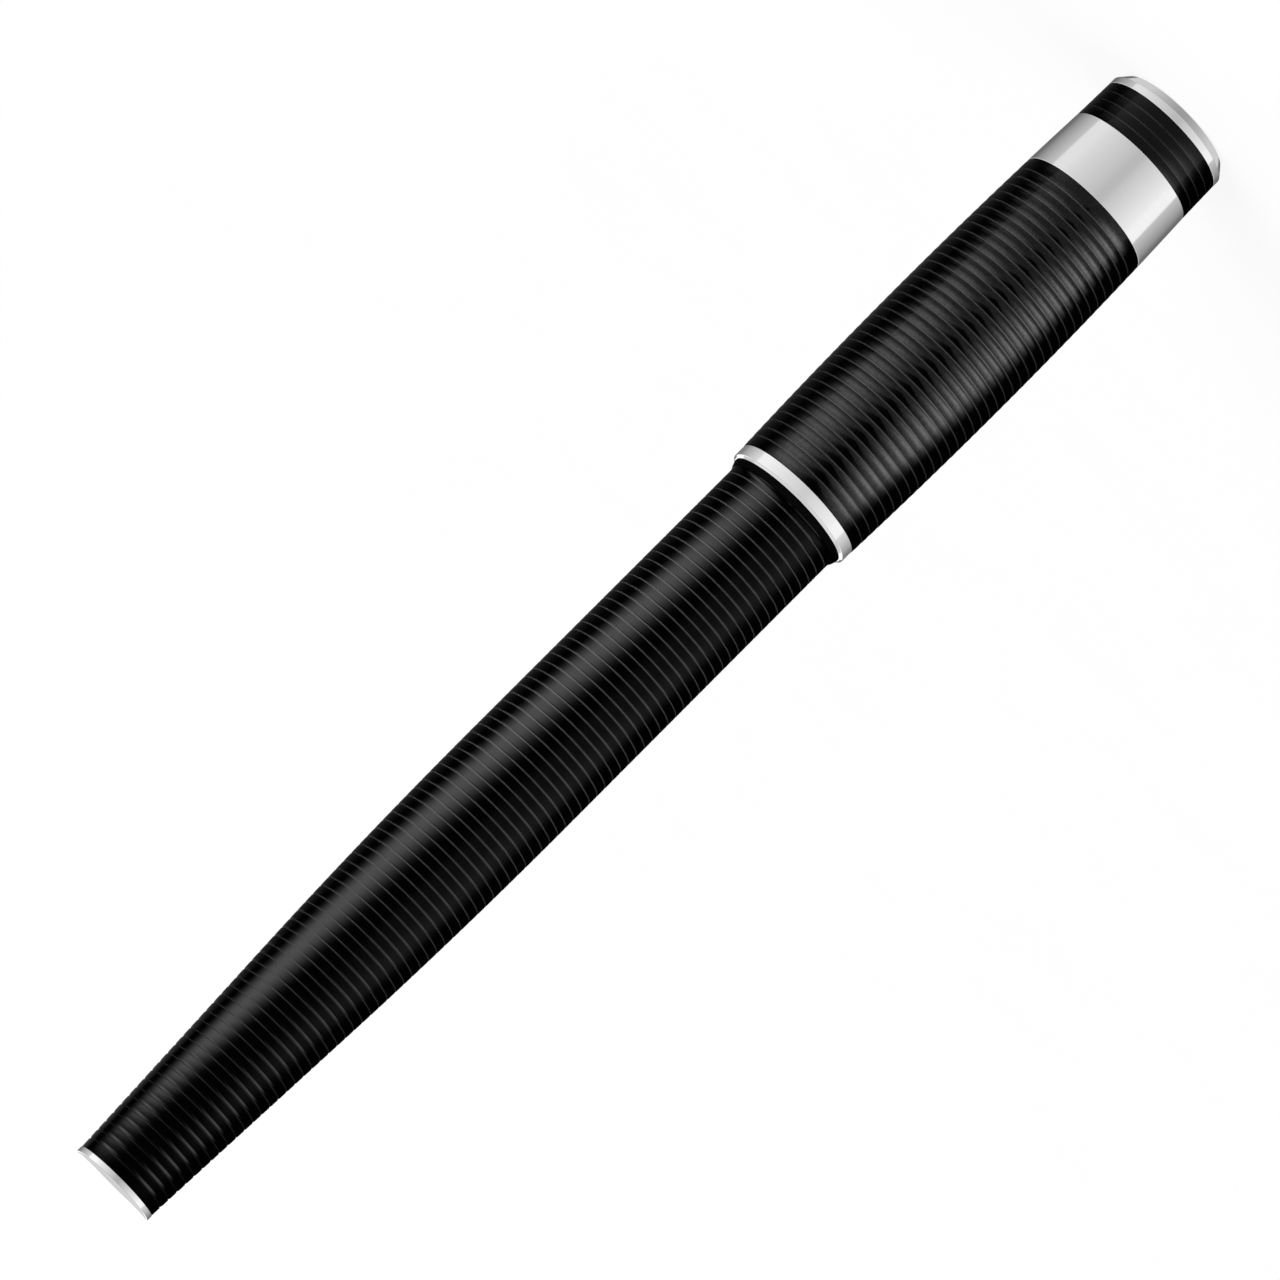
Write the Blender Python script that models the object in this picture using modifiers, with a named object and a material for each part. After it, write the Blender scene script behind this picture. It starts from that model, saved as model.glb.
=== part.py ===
"""Capped rollerball pen with ring-grooved shells, a screwed section and a sprung refill.

The pen stands on its crown: Z = 0 is the crown's flat face and +Z runs to the tail,
so the writing point faces down inside the cap. All sizes are in metres.
"""

import math

import bpy

# Lengths along the axis, from the crown towards the tail
CROWN_HEIGHT = 0.0017
COLLAR_LENGTH = 0.00414
BAND_LENGTH = 0.00638
CAP_TUBE_LENGTH = 0.03816
LIP_RING_LENGTH = 0.0017
MOUTH_FLANGE = 0.00027
CROWN_STUB_LENGTH = 0.002
CAP_WEB = 0.001
SCREW_HEAD_HEIGHT = 0.0012
SCREW_HEAD_ROUND = 0.0004
SCREW_GRIP = 0.0014
INNER_CAP_END = 0.0011
CAP_SHOULDER = 0.0012
TIP_SPACE = 0.005
REFILL_LENGTH = 0.1108
SPRING_LENGTH = 0.008
SPRING_SEAT_FLANGE = 0.0006
TAIL_PLUG_LENGTH = 0.00704
TAIL_CAP_HEIGHT = 0.00095
TAIL_STEM_LENGTH = 0.004

# Section lengths
TIP_EXPOSED = 0.0027
NOSE_LENGTH = 0.0085
NOSE_SPIGOT_LENGTH = 0.0038
NOSE_TIP_HOLE = 0.0035
FLANGE_THICKNESS = 0.0013
BUSH_SHANK_LENGTH = 0.007
THREAD_LENGTH = 0.008
BARREL_BUSH_LENGTH = 0.0086
CATCH_FROM_MOUTH = 0.0062
CATCH_HEIGHT = 0.0012
CATCH_BEAD_WIDTH = 0.0008

# Refill lengths
POINT_CONE_LENGTH = 0.0026
POINT_HELD_LENGTH = 0.003
REFILL_FLANGE = 0.0012
HOLDER_PLUG_LENGTH = 0.004
END_PLUG_LENGTH = 0.004
END_PLUG_FLANGE = 0.001

# Radii and walls, from the refill outwards
BALL_RADIUS = 0.00035
SOCKET_WALL = 0.00012
SOCKET_RIM_RATIO = 0.55
POINT_RADIUS = 0.00115
FEED_RADIUS = 0.00035
HOLDER_RADIUS = 0.002
REFILL_RADIUS = 0.00305
REFILL_WALL = 0.00025
VENT_RADIUS = 0.0005
BUSH_WALL = 0.0012
O_RING_WIRE = 0.0008
BARREL_BUSH_WALL = 0.0007
BARREL_WALL = 0.000745
BARREL_MAIN_BORE = 0.0046
FLANGE_STEP = 0.0007
GRIP_STEP = 0.00025
GRIP_FRONT_RADIUS = 0.004
GRIP_WAIST = 0.00025
BUSH_SHANK_WALL = 0.0008
NOSE_TIP_RADIUS = 0.0019
NOSE_SPIGOT_WALL = 0.0012
CATCH_GROOVE_DEPTH = 0.00045
CATCH_PROUD = 0.00008
CATCH_BEAD_HEIGHT = 0.00007
INNER_CAP_WALL = 0.00055
TIP_WELL_RADIUS = 0.0044
CAP_WALL = 0.00089
NECK_WALL = 0.0008
BAND_WALL = 0.0009
SCREW_HEAD_RADIUS = 0.002
SCREW_RADIUS = 0.001
TAIL_WALL = 0.00101
TAIL_STEM_RADIUS = 0.0015
SPRING_RADIUS = 0.0022
SPRING_WIRE = 0.0004
SPRING_TURNS = 7
SEAT_SPIGOT_LENGTH = 0.0015

# Outlines of the cap and the barrel
CAP_BELLY = 0.00044
CROWN_DROP = 0.00009
CROWN_CHAMFER = 0.00077
CROWN_CHAMFER_LENGTH = 0.00095
LIP_INSET = 0.00005
LIP_CHAMFER = 0.00032
LIP_CHAMFER_LENGTH = 0.00028
MOUTH_SLOPE = 0.0002
BARREL_FLARE = 0.0001
BARREL_FLARE_LENGTH = 0.0002
BARREL_STRAIGHT = 0.0342
BARREL_BLEND = 0.028
TAIL_CAP_PROUD = 0.00004
TAIL_CAP_ROUND = 0.00018

# Ring grooves of the three black shells
RIB_DEPTH = 0.0001
CAP_RIB_PITCH = 0.001044
BARREL_RIB_PITCH = 0.0010297
CAP_FIRST_LAND = 0.00122
COLLAR_FIRST_LAND = 0.00092
BARREL_FIRST_LAND = 0.00103
RIB_LAST_LAND = 0.0008

# Clearances
SEAT = 0.00005
FIT = 0.0001
RUN = 0.0002
THREAD_PLAY = 0.00015
REFILL_PLAY = 0.00025
SOCKET_PLAY = 0.00006

# Facets
STEPS = 20
SMALL_STEPS = 16
BALL_STEPS = 12
BALL_RINGS = 8
O_RING_SIDES = 8
OUTLINE_POINTS = 5
SPRING_POINTS = 9
SHARP_ANGLE = math.radians(30)
MERGE = 0.00001

# Stations on the outside
Z_BAND = CROWN_HEIGHT + COLLAR_LENGTH
Z_TUBE = Z_BAND + BAND_LENGTH
Z_LIP = Z_TUBE + CAP_TUBE_LENGTH
Z_RING_END = Z_LIP + LIP_RING_LENGTH
Z_MOUTH = Z_RING_END + SEAT + MOUTH_FLANGE

# Stations inside the cap
Z_STUB = CROWN_HEIGHT + CROWN_STUB_LENGTH
Z_WEB_TOP = Z_STUB + SEAT + CAP_WEB
Z_HEAD_TOP = Z_WEB_TOP + SEAT + SCREW_HEAD_HEIGHT
Z_INNER_FLOOR = Z_HEAD_TOP + SEAT + INNER_CAP_END
Z_CAP_STEP = Z_TUBE + CAP_SHOULDER

# Stations of the refill, the section and the tail
Z_TIP = Z_INNER_FLOOR + TIP_SPACE
Z_BALL = Z_TIP + BALL_RADIUS
Z_NOSE = Z_TIP + TIP_EXPOSED
Z_GRIP = Z_NOSE + NOSE_LENGTH
Z_REFILL_SEAT = Z_GRIP + NOSE_SPIGOT_LENGTH
Z_HOLDER = Z_NOSE + NOSE_TIP_HOLE + RUN
Z_HOLDER_FLANGE = Z_REFILL_SEAT + SEAT
Z_HOLDER_TOP = Z_HOLDER_FLANGE + REFILL_FLANGE + HOLDER_PLUG_LENGTH
Z_REFILL_END = Z_TIP + REFILL_LENGTH
Z_SPRING_TOP = Z_REFILL_END + SEAT + SPRING_LENGTH
Z_PLUG = Z_SPRING_TOP + SEAT + SPRING_SEAT_FLANGE + SEAT
Z_TAIL = Z_PLUG + TAIL_PLUG_LENGTH
Z_END = Z_TAIL + TAIL_CAP_HEIGHT
Z_FLANGE = Z_MOUTH - FLANGE_THICKNESS
Z_CATCH = Z_MOUTH - CATCH_FROM_MOUTH
Z_TAPER = Z_MOUTH + BARREL_STRAIGHT
Z_CONE = Z_TAPER + BARREL_BLEND

# Radii that follow from the walls and clearances
REFILL_BORE = REFILL_RADIUS + REFILL_PLAY
THREAD_RADIUS = REFILL_BORE + BUSH_WALL
BARREL_BUSH_BORE = THREAD_RADIUS + THREAD_PLAY
BARREL_FRONT_BORE = BARREL_BUSH_BORE + BARREL_BUSH_WALL + FIT
BARREL_RADIUS = BARREL_FRONT_BORE + BARREL_WALL
TAIL_BORE = REFILL_BORE + FIT
TAIL_RADIUS = TAIL_BORE + TAIL_WALL
FLANGE_RADIUS = THREAD_RADIUS + FLANGE_STEP
GRIP_REAR_RADIUS = FLANGE_RADIUS - GRIP_STEP
BUSH_SHANK_RADIUS = REFILL_BORE + BUSH_SHANK_WALL
HOLDER_BORE = HOLDER_RADIUS + REFILL_PLAY
NOSE_SPIGOT_RADIUS = HOLDER_BORE + NOSE_SPIGOT_WALL
INNER_CAP_BORE = FLANGE_RADIUS + RUN
CAP_BORE = INNER_CAP_BORE + INNER_CAP_WALL + FIT
CAP_MOUTH_RADIUS = CAP_BORE + CAP_WALL
LIP_RADIUS = CAP_MOUTH_RADIUS - LIP_INSET
LIP_END_RADIUS = LIP_RADIUS - LIP_CHAMFER
NECK_BORE = TIP_WELL_RADIUS + INNER_CAP_WALL + FIT
NECK_RADIUS = NECK_BORE + NECK_WALL
BAND_BORE = NECK_RADIUS + FIT
BAND_RADIUS = BAND_BORE + BAND_WALL
CROWN_RADIUS = BAND_RADIUS - CROWN_DROP
TUBE_INNER_RADIUS = REFILL_RADIUS - REFILL_WALL

BLACK_LACQUER = ((0.012, 0.012, 0.013, 1.0), 0.32, 0.0)
CHROME = ((0.86, 0.86, 0.87, 1.0), 0.08, 1.0)
BRASS = ((0.72, 0.52, 0.2, 1.0), 0.3, 1.0)
STEEL = ((0.6, 0.6, 0.61, 1.0), 0.28, 1.0)
NICKEL = ((0.75, 0.72, 0.66, 1.0), 0.2, 1.0)
BLACK_PLASTIC = ((0.02, 0.02, 0.021, 1.0), 0.45, 0.0)
WHITE_PLASTIC = ((0.8, 0.8, 0.78, 1.0), 0.45, 0.0)
INK_FIBRE = ((0.02, 0.03, 0.09, 1.0), 0.9, 0.0)
RUBBER = ((0.015, 0.015, 0.015, 1.0), 0.8, 0.0)


def clear_scene():
    """Remove whatever the file opened with."""
    for obj in list(bpy.data.objects):
        bpy.data.objects.remove(obj)


def assembly(name, z=0.0):
    """An empty on the pen's axis that carries the pieces of one moving group."""
    empty = bpy.data.objects.new(name, None)
    empty.empty_display_size = REFILL_RADIUS
    empty.location.z = z
    COLLECTION.objects.link(empty)
    return empty


def dress(obj, finish):
    """Give a piece a material of its own."""
    colour, roughness, metallic = finish
    material = bpy.data.materials.new(obj.name)
    material.use_nodes = True
    shader = material.node_tree.nodes["Principled BSDF"]
    shader.inputs["Base Color"].default_value = colour
    shader.inputs["Roughness"].default_value = roughness
    shader.inputs["Metallic"].default_value = metallic
    obj.data.materials.clear()
    obj.data.materials.append(material)


def place(obj, z, group, finish):
    """Put a piece on the axis at height z, in its group and with its finish."""
    for collection in list(obj.users_collection):
        collection.objects.unlink(obj)
    COLLECTION.objects.link(obj)
    obj.parent = group
    obj.location = (0.0, 0.0, z - group.location.z)
    dress(obj, finish)


def smooth(mesh):
    """Shade a round piece smooth, with its turned corners sharp."""
    mesh.shade_smooth()
    mesh.set_sharp_from_angle(angle=SHARP_ANGLE)


def turned(name, profile, group, finish, steps=STEPS):
    """Turn a (radius, height) profile about the axis; one that leaves the axis is a closed ring.

    The profile runs down its outer side. The piece's origin is on the axis at its lower end.
    """
    base = min(z for _, z in profile)
    points = [(r, 0.0, z - base) for r, z in profile]
    edges = [(i, i + 1) for i in range(len(points) - 1)]
    if profile[0][0] > 0.0:
        edges.append((len(points) - 1, 0))
    outline = bpy.data.meshes.new(name)
    outline.from_pydata(points, edges, [])
    obj = bpy.data.objects.new(name, outline)
    COLLECTION.objects.link(obj)
    screw = obj.modifiers.new("Turn", "SCREW")
    screw.axis = "Z"
    screw.angle = 2.0 * math.pi
    screw.steps = screw.render_steps = steps
    screw.use_merge_vertices = True
    screw.merge_threshold = MERGE
    apply_modifiers(obj)
    smooth(obj.data)
    place(obj, base, group, finish)
    return obj


def apply_modifiers(obj):
    """Replace an object's mesh by the one its modifiers make."""
    bpy.context.view_layer.update()
    evaluated = obj.evaluated_get(bpy.context.evaluated_depsgraph_get())
    mesh = bpy.data.meshes.new_from_object(evaluated)
    obj.modifiers.clear()
    obj.data = mesh


def primitive(name, z, group, finish):
    """Take the primitive that was just added as a named piece on the axis."""
    obj = bpy.context.active_object
    obj.name = name
    smooth(obj.data)
    place(obj, z, group, finish)
    return obj


def spread(low, high, count):
    """Evenly spaced stations from high down to low, both included."""
    return [high + (low - high) * i / (count - 1) for i in range(count)]


def cap_outline(z):
    """Radius of the bulged cap between the collar and the mouth."""
    s = (z - Z_BAND) / (Z_LIP - Z_BAND)
    straight = BAND_RADIUS + (CAP_MOUTH_RADIUS - BAND_RADIUS) * s
    return straight + 4.0 * CAP_BELLY * s * (1.0 - s)


def collar_outline(z):
    """Radius of the short taper from the band to the crown."""
    return CROWN_RADIUS + CROWN_DROP * (z - CROWN_HEIGHT) / COLLAR_LENGTH


def barrel_outline(z):
    """Radius of the barrel: flared mouth, straight, then a parabolic blend into a cone."""
    slope = (BARREL_RADIUS - TAIL_RADIUS) / (BARREL_BLEND / 2.0 + Z_TAIL - Z_CONE)
    if z <= Z_TAPER:
        past_mouth = (z - Z_MOUTH - SEAT) / BARREL_FLARE_LENGTH
        return BARREL_RADIUS + BARREL_FLARE * max(0.0, 1.0 - past_mouth)
    if z <= Z_CONE:
        return BARREL_RADIUS - slope * (z - Z_TAPER) ** 2 / (2.0 * BARREL_BLEND)
    return TAIL_RADIUS + slope * (Z_TAIL - z)


def groove_stations(top, bottom, first_land, pitch):
    """Heights of the ring grooves, counted down from a shell's upper end."""
    count = int((top - bottom - first_land - RIB_LAST_LAND) / pitch) + 1
    return [top - first_land - i * pitch for i in range(count)]


def ribbed(outline, top, bottom, first_land, pitch):
    """Outer side of a shell, top to bottom: a groove at each station and a crest between."""
    side = [(outline(top), top)]
    for z in groove_stations(top, bottom, first_land, pitch):
        crest = z + pitch / 2.0
        side.append((outline(crest), crest))
        side.append((outline(z) - RIB_DEPTH, z))
    last_crest = side[-1][1] - pitch / 2.0
    side.append((outline(last_crest), last_crest))
    side.append((outline(bottom), bottom))
    return side


def build_cap(group):
    """Crown, collar, band, tube and lip ring, clamped by a screw and lined by the inner cap."""
    screw_end = Z_WEB_TOP - CAP_WEB - SCREW_GRIP
    stub_radius = NECK_BORE - FIT
    crown = [
        (0.0, screw_end - SEAT),
        (SCREW_RADIUS + FIT, screw_end - SEAT),
        (SCREW_RADIUS + FIT, Z_STUB),
        (stub_radius, Z_STUB),
        (stub_radius, CROWN_HEIGHT),
        (CROWN_RADIUS, CROWN_HEIGHT),
        (CROWN_RADIUS, CROWN_CHAMFER_LENGTH),
        (CROWN_RADIUS - CROWN_CHAMFER, 0.0),
        (0.0, 0.0),
    ]
    turned("cap_crown", crown, group, CHROME)

    screw = [
        (0.0, Z_HEAD_TOP),
        (SCREW_HEAD_RADIUS - SCREW_HEAD_ROUND, Z_HEAD_TOP),
        (SCREW_HEAD_RADIUS, Z_HEAD_TOP - SCREW_HEAD_ROUND),
        (SCREW_HEAD_RADIUS, Z_WEB_TOP + SEAT),
        (SCREW_RADIUS, Z_WEB_TOP + SEAT),
        (SCREW_RADIUS, screw_end),
        (0.0, screw_end),
    ]
    turned("crown_screw", screw, group, STEEL, SMALL_STEPS)

    collar_low = CROWN_HEIGHT + SEAT
    collar = ribbed(collar_outline, Z_BAND, collar_low, COLLAR_FIRST_LAND, CAP_RIB_PITCH)
    collar += [(BAND_BORE, collar_low), (BAND_BORE, Z_BAND)]
    turned("cap_collar", collar, group, BLACK_LACQUER)

    band_low = Z_BAND + SEAT
    band = [(cap_outline(z), z) for z in spread(band_low, Z_TUBE, OUTLINE_POINTS)]
    band += [(BAND_BORE, band_low), (BAND_BORE, Z_TUBE)]
    turned("cap_band", band, group, CHROME)

    tube_low = Z_TUBE + SEAT
    tube = ribbed(cap_outline, Z_LIP, tube_low, CAP_FIRST_LAND, CAP_RIB_PITCH)
    tube += [
        (NECK_RADIUS, tube_low),
        (NECK_RADIUS, CROWN_HEIGHT + SEAT),
        (NECK_BORE, CROWN_HEIGHT + SEAT),
        (NECK_BORE, Z_WEB_TOP - CAP_WEB),
        (SCREW_RADIUS + FIT, Z_WEB_TOP - CAP_WEB),
        (SCREW_RADIUS + FIT, Z_WEB_TOP),
        (NECK_BORE, Z_WEB_TOP),
        (NECK_BORE, Z_CAP_STEP),
        (CAP_BORE, Z_CAP_STEP),
        (CAP_BORE, Z_LIP),
    ]
    turned("cap_tube", tube, group, BLACK_LACQUER)

    lip = [
        (LIP_END_RADIUS, Z_RING_END),
        (LIP_RADIUS, Z_RING_END - LIP_CHAMFER_LENGTH),
        (LIP_RADIUS, Z_LIP + SEAT),
        (CAP_BORE, Z_LIP + SEAT),
        (CAP_BORE, Z_RING_END),
    ]
    turned("cap_lip_ring", lip, group, CHROME)

    build_inner_cap(group)


def build_inner_cap(group):
    """Plastic liner with a well round the point, a bead behind the catch and a flanged mouth."""
    flange_low = Z_RING_END + SEAT
    outer = INNER_CAP_BORE + INNER_CAP_WALL
    shoulder = Z_CAP_STEP + SEAT
    well_top = shoulder + INNER_CAP_WALL
    bead = Z_CATCH + CATCH_HEIGHT + RUN + CATCH_BEAD_WIDTH / 2.0
    liner = [
        (0.0, Z_INNER_FLOOR),
        (TIP_WELL_RADIUS, Z_INNER_FLOOR),
        (TIP_WELL_RADIUS, well_top),
        (INNER_CAP_BORE, well_top + INNER_CAP_BORE - TIP_WELL_RADIUS),
        (INNER_CAP_BORE, bead - CATCH_BEAD_WIDTH / 2.0),
        (INNER_CAP_BORE - CATCH_BEAD_HEIGHT, bead),
        (INNER_CAP_BORE, bead + CATCH_BEAD_WIDTH / 2.0),
        (INNER_CAP_BORE, Z_MOUTH),
        (LIP_END_RADIUS - MOUTH_SLOPE, Z_MOUTH),
        (LIP_END_RADIUS, flange_low),
        (outer, flange_low),
        (outer, shoulder),
        (TIP_WELL_RADIUS + INNER_CAP_WALL, shoulder),
        (TIP_WELL_RADIUS + INNER_CAP_WALL, Z_HEAD_TOP + SEAT),
        (0.0, Z_HEAD_TOP + SEAT),
    ]
    turned("inner_cap", liner, group, BLACK_PLASTIC)


def build_catch(group):
    """Snap ring that the inner cap's bead holds, loose in its groove in the grip."""
    catch_radius = FLANGE_RADIUS + CATCH_PROUD
    ring_bore = GRIP_REAR_RADIUS - CATCH_GROOVE_DEPTH + FIT
    top = Z_CATCH + CATCH_HEIGHT
    ramp = catch_radius - GRIP_REAR_RADIUS
    ring = [
        (ring_bore, top),
        (GRIP_REAR_RADIUS, top),
        (catch_radius, top - ramp),
        (catch_radius, Z_CATCH + ramp),
        (GRIP_REAR_RADIUS, Z_CATCH),
        (ring_bore, Z_CATCH),
    ]
    turned("catch_ring", ring, group, CHROME)


def grip_outline(z):
    """Radius of the grip, waisted between the nose and the catch ring."""
    s = (z - Z_GRIP) / (Z_CATCH - Z_GRIP)
    straight = GRIP_FRONT_RADIUS + (GRIP_REAR_RADIUS - GRIP_FRONT_RADIUS) * s
    return straight - GRIP_WAIST * math.sin(math.pi * s)


def build_section(group):
    """Grip, nose cone, threaded bush and sealing ring."""
    rear = Z_FLANGE - SEAT
    front = Z_GRIP + SEAT
    groove = GRIP_REAR_RADIUS - CATCH_GROOVE_DEPTH
    catch_top = Z_CATCH + CATCH_HEIGHT + SEAT
    catch_low = Z_CATCH - SEAT
    bush_low = Z_FLANGE - BUSH_SHANK_LENGTH
    grip = [
        (GRIP_REAR_RADIUS, rear),
        (GRIP_REAR_RADIUS, catch_top),
        (groove, catch_top),
        (groove, catch_low),
    ]
    grip += [(grip_outline(z), z) for z in spread(front, catch_low, OUTLINE_POINTS)]
    grip += [
        (NOSE_SPIGOT_RADIUS + FIT, front),
        (NOSE_SPIGOT_RADIUS + FIT, Z_REFILL_SEAT + SEAT),
        (REFILL_BORE, Z_REFILL_SEAT + SEAT),
        (REFILL_BORE, bush_low - SEAT),
        (BUSH_SHANK_RADIUS + FIT, bush_low - SEAT),
        (BUSH_SHANK_RADIUS + FIT, rear),
    ]
    turned("grip_section", grip, group, BLACK_LACQUER)

    build_nose(group)

    flange_top = Z_MOUTH - SEAT
    o_ring_seat = flange_top + SEAT + O_RING_WIRE + SEAT
    o_ring_centre = THREAD_RADIUS - SEAT
    neck = o_ring_centre - O_RING_WIRE / 2.0 - SEAT
    bush = [
        (REFILL_BORE, Z_MOUTH + THREAD_LENGTH),
        (THREAD_RADIUS, Z_MOUTH + THREAD_LENGTH),
        (THREAD_RADIUS, o_ring_seat),
        (neck, o_ring_seat),
        (neck, flange_top),
        (FLANGE_RADIUS, flange_top),
        (FLANGE_RADIUS, Z_FLANGE),
        (BUSH_SHANK_RADIUS, Z_FLANGE),
        (BUSH_SHANK_RADIUS, bush_low),
        (REFILL_BORE, bush_low),
    ]
    turned("section_bush", bush, group, BRASS)

    bpy.ops.mesh.primitive_torus_add(
        major_radius=o_ring_centre,
        minor_radius=O_RING_WIRE / 2.0,
        major_segments=STEPS,
        minor_segments=O_RING_SIDES,
    )
    primitive("section_o_ring", flange_top + SEAT + O_RING_WIRE / 2.0, group, RUBBER)


def build_nose(group):
    """Chrome cone with a rounded flank and a spigot that the refill's flange rests on."""
    def flank(z):
        s = (z - Z_NOSE) / NOSE_LENGTH
        swell = math.sin(s * math.pi / 2.0)
        return NOSE_TIP_RADIUS + (GRIP_FRONT_RADIUS - NOSE_TIP_RADIUS) * swell

    hole = POINT_RADIUS + REFILL_PLAY
    nose = [
        (HOLDER_BORE, Z_REFILL_SEAT),
        (NOSE_SPIGOT_RADIUS, Z_REFILL_SEAT),
        (NOSE_SPIGOT_RADIUS, Z_GRIP),
    ]
    nose += [(flank(z), z) for z in spread(Z_NOSE, Z_GRIP, OUTLINE_POINTS)]
    nose += [
        (hole, Z_NOSE),
        (hole, Z_NOSE + NOSE_TIP_HOLE),
        (HOLDER_BORE, Z_NOSE + NOSE_TIP_HOLE),
    ]
    turned("section_nose", nose, group, CHROME)


def build_refill(group):
    """Point, holder, ink tube, feed, fibre reservoir and vented end plug."""
    rim = Z_BALL - BALL_RADIUS * SOCKET_RIM_RATIO
    socket = BALL_RADIUS + SOCKET_PLAY
    channel = FEED_RADIUS + SOCKET_PLAY
    socket_top = Z_BALL + socket
    point_top = Z_HOLDER + POINT_HELD_LENGTH
    cone_top = Z_TIP + POINT_CONE_LENGTH
    rim_bore = math.sqrt(BALL_RADIUS**2 - (Z_BALL - rim) ** 2) + SOCKET_PLAY / 2.0
    point = [
        (channel, point_top),
        (POINT_RADIUS, point_top),
        (POINT_RADIUS, cone_top),
        (socket + SOCKET_WALL, socket_top),
        (rim_bore + SOCKET_WALL / 2.0, rim),
        (rim_bore, rim),
        (socket, Z_BALL),
        (socket, socket_top),
        (channel, socket_top + SOCKET_WALL),
    ]
    turned("refill_point", point, group, NICKEL, SMALL_STEPS)

    holder_plug = TUBE_INNER_RADIUS - FIT
    flange_top = Z_HOLDER_FLANGE + REFILL_FLANGE
    holder = [
        (channel, Z_HOLDER_TOP),
        (holder_plug, Z_HOLDER_TOP),
        (holder_plug, flange_top),
        (REFILL_RADIUS, flange_top),
        (REFILL_RADIUS, Z_HOLDER_FLANGE),
        (HOLDER_RADIUS, Z_HOLDER_FLANGE),
        (HOLDER_RADIUS, Z_HOLDER),
        (POINT_RADIUS + FIT, Z_HOLDER),
        (POINT_RADIUS + FIT, point_top + SEAT),
        (channel, point_top + SEAT),
    ]
    turned("refill_holder", holder, group, WHITE_PLASTIC, SMALL_STEPS)

    plug_flange = Z_REFILL_END - END_PLUG_FLANGE
    tube_low = flange_top + SEAT
    tube_top = plug_flange - SEAT
    tube = [
        (TUBE_INNER_RADIUS, tube_top),
        (REFILL_RADIUS, tube_top),
        (REFILL_RADIUS, tube_low),
        (TUBE_INNER_RADIUS, tube_low),
    ]
    turned("refill_tube", tube, group, STEEL, SMALL_STEPS)

    plug_low = plug_flange - END_PLUG_LENGTH
    plug = [
        (VENT_RADIUS, Z_REFILL_END),
        (REFILL_RADIUS, Z_REFILL_END),
        (REFILL_RADIUS, plug_flange),
        (holder_plug, plug_flange),
        (holder_plug, plug_low),
        (VENT_RADIUS, plug_low),
    ]
    turned("refill_end_plug", plug, group, BLACK_PLASTIC, SMALL_STEPS)

    rod(
        "refill_feed",
        FEED_RADIUS,
        socket_top + SOCKET_WALL,
        Z_HOLDER_TOP,
        group,
        WHITE_PLASTIC,
    )
    rod(
        "ink_reservoir",
        holder_plug,
        Z_HOLDER_TOP + SEAT,
        plug_low - SEAT,
        group,
        INK_FIBRE,
    )


def rod(name, radius, low, high, group, finish):
    """A plain round rod along the axis, with its origin at mid-length."""
    bpy.ops.mesh.primitive_cylinder_add(vertices=SMALL_STEPS, radius=radius, depth=high - low)
    primitive(name, (low + high) / 2.0, group, finish)


def build_ball(group):
    """Writing ball, centred on its own rolling axis."""
    bpy.ops.mesh.primitive_uv_sphere_add(
        segments=BALL_STEPS, ring_count=BALL_RINGS, radius=BALL_RADIUS
    )
    primitive("refill_ball", Z_BALL, group, STEEL)


def build_spring(group):
    """Coil spring behind the refill and the flanged seat that centres it."""
    low = Z_REFILL_END + SEAT + SPRING_WIRE / 2.0
    rise = SPRING_LENGTH - SPRING_WIRE
    count = SPRING_TURNS * SPRING_POINTS + 1
    coil = []
    for i in range(count):
        angle = 2.0 * math.pi * i / SPRING_POINTS
        height = rise * i / (count - 1)
        coil.append((SPRING_RADIUS * math.cos(angle), SPRING_RADIUS * math.sin(angle), height))
    report_coil_gap(coil)

    curve = bpy.data.curves.new("refill_spring", "CURVE")
    curve.dimensions = "3D"
    curve.bevel_depth = SPRING_WIRE / 2.0
    curve.bevel_resolution = 1
    curve.use_fill_caps = True
    spline = curve.splines.new("POLY")
    spline.points.add(count - 1)
    for point, place_on_coil in zip(spline.points, coil):
        point.co = (*place_on_coil, 1.0)
    spring = bpy.data.objects.new("refill_spring", curve)
    COLLECTION.objects.link(spring)
    place(spring, low, group, STEEL)

    spigot = SPRING_RADIUS - SPRING_WIRE / 2.0 - RUN
    flange_low = Z_SPRING_TOP + SEAT
    seat = [
        (0.0, flange_low + SPRING_SEAT_FLANGE),
        (TAIL_BORE - RUN, flange_low + SPRING_SEAT_FLANGE),
        (TAIL_BORE - RUN, flange_low),
        (spigot, flange_low),
        (spigot, flange_low - SEAT_SPIGOT_LENGTH),
        (0.0, flange_low - SEAT_SPIGOT_LENGTH),
    ]
    turned("spring_seat", seat, group, BRASS, SMALL_STEPS)


def report_coil_gap(coil):
    """Print the least clear distance between the coil's own turns."""
    apart = SPRING_POINTS // 2
    least = min(
        math.dist(a, b)
        for i, a in enumerate(coil)
        for b in coil[i + apart:]
    )
    print(f"refill_spring least gap {(least - SPRING_WIRE) * 1000.0:.3f} mm")


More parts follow.
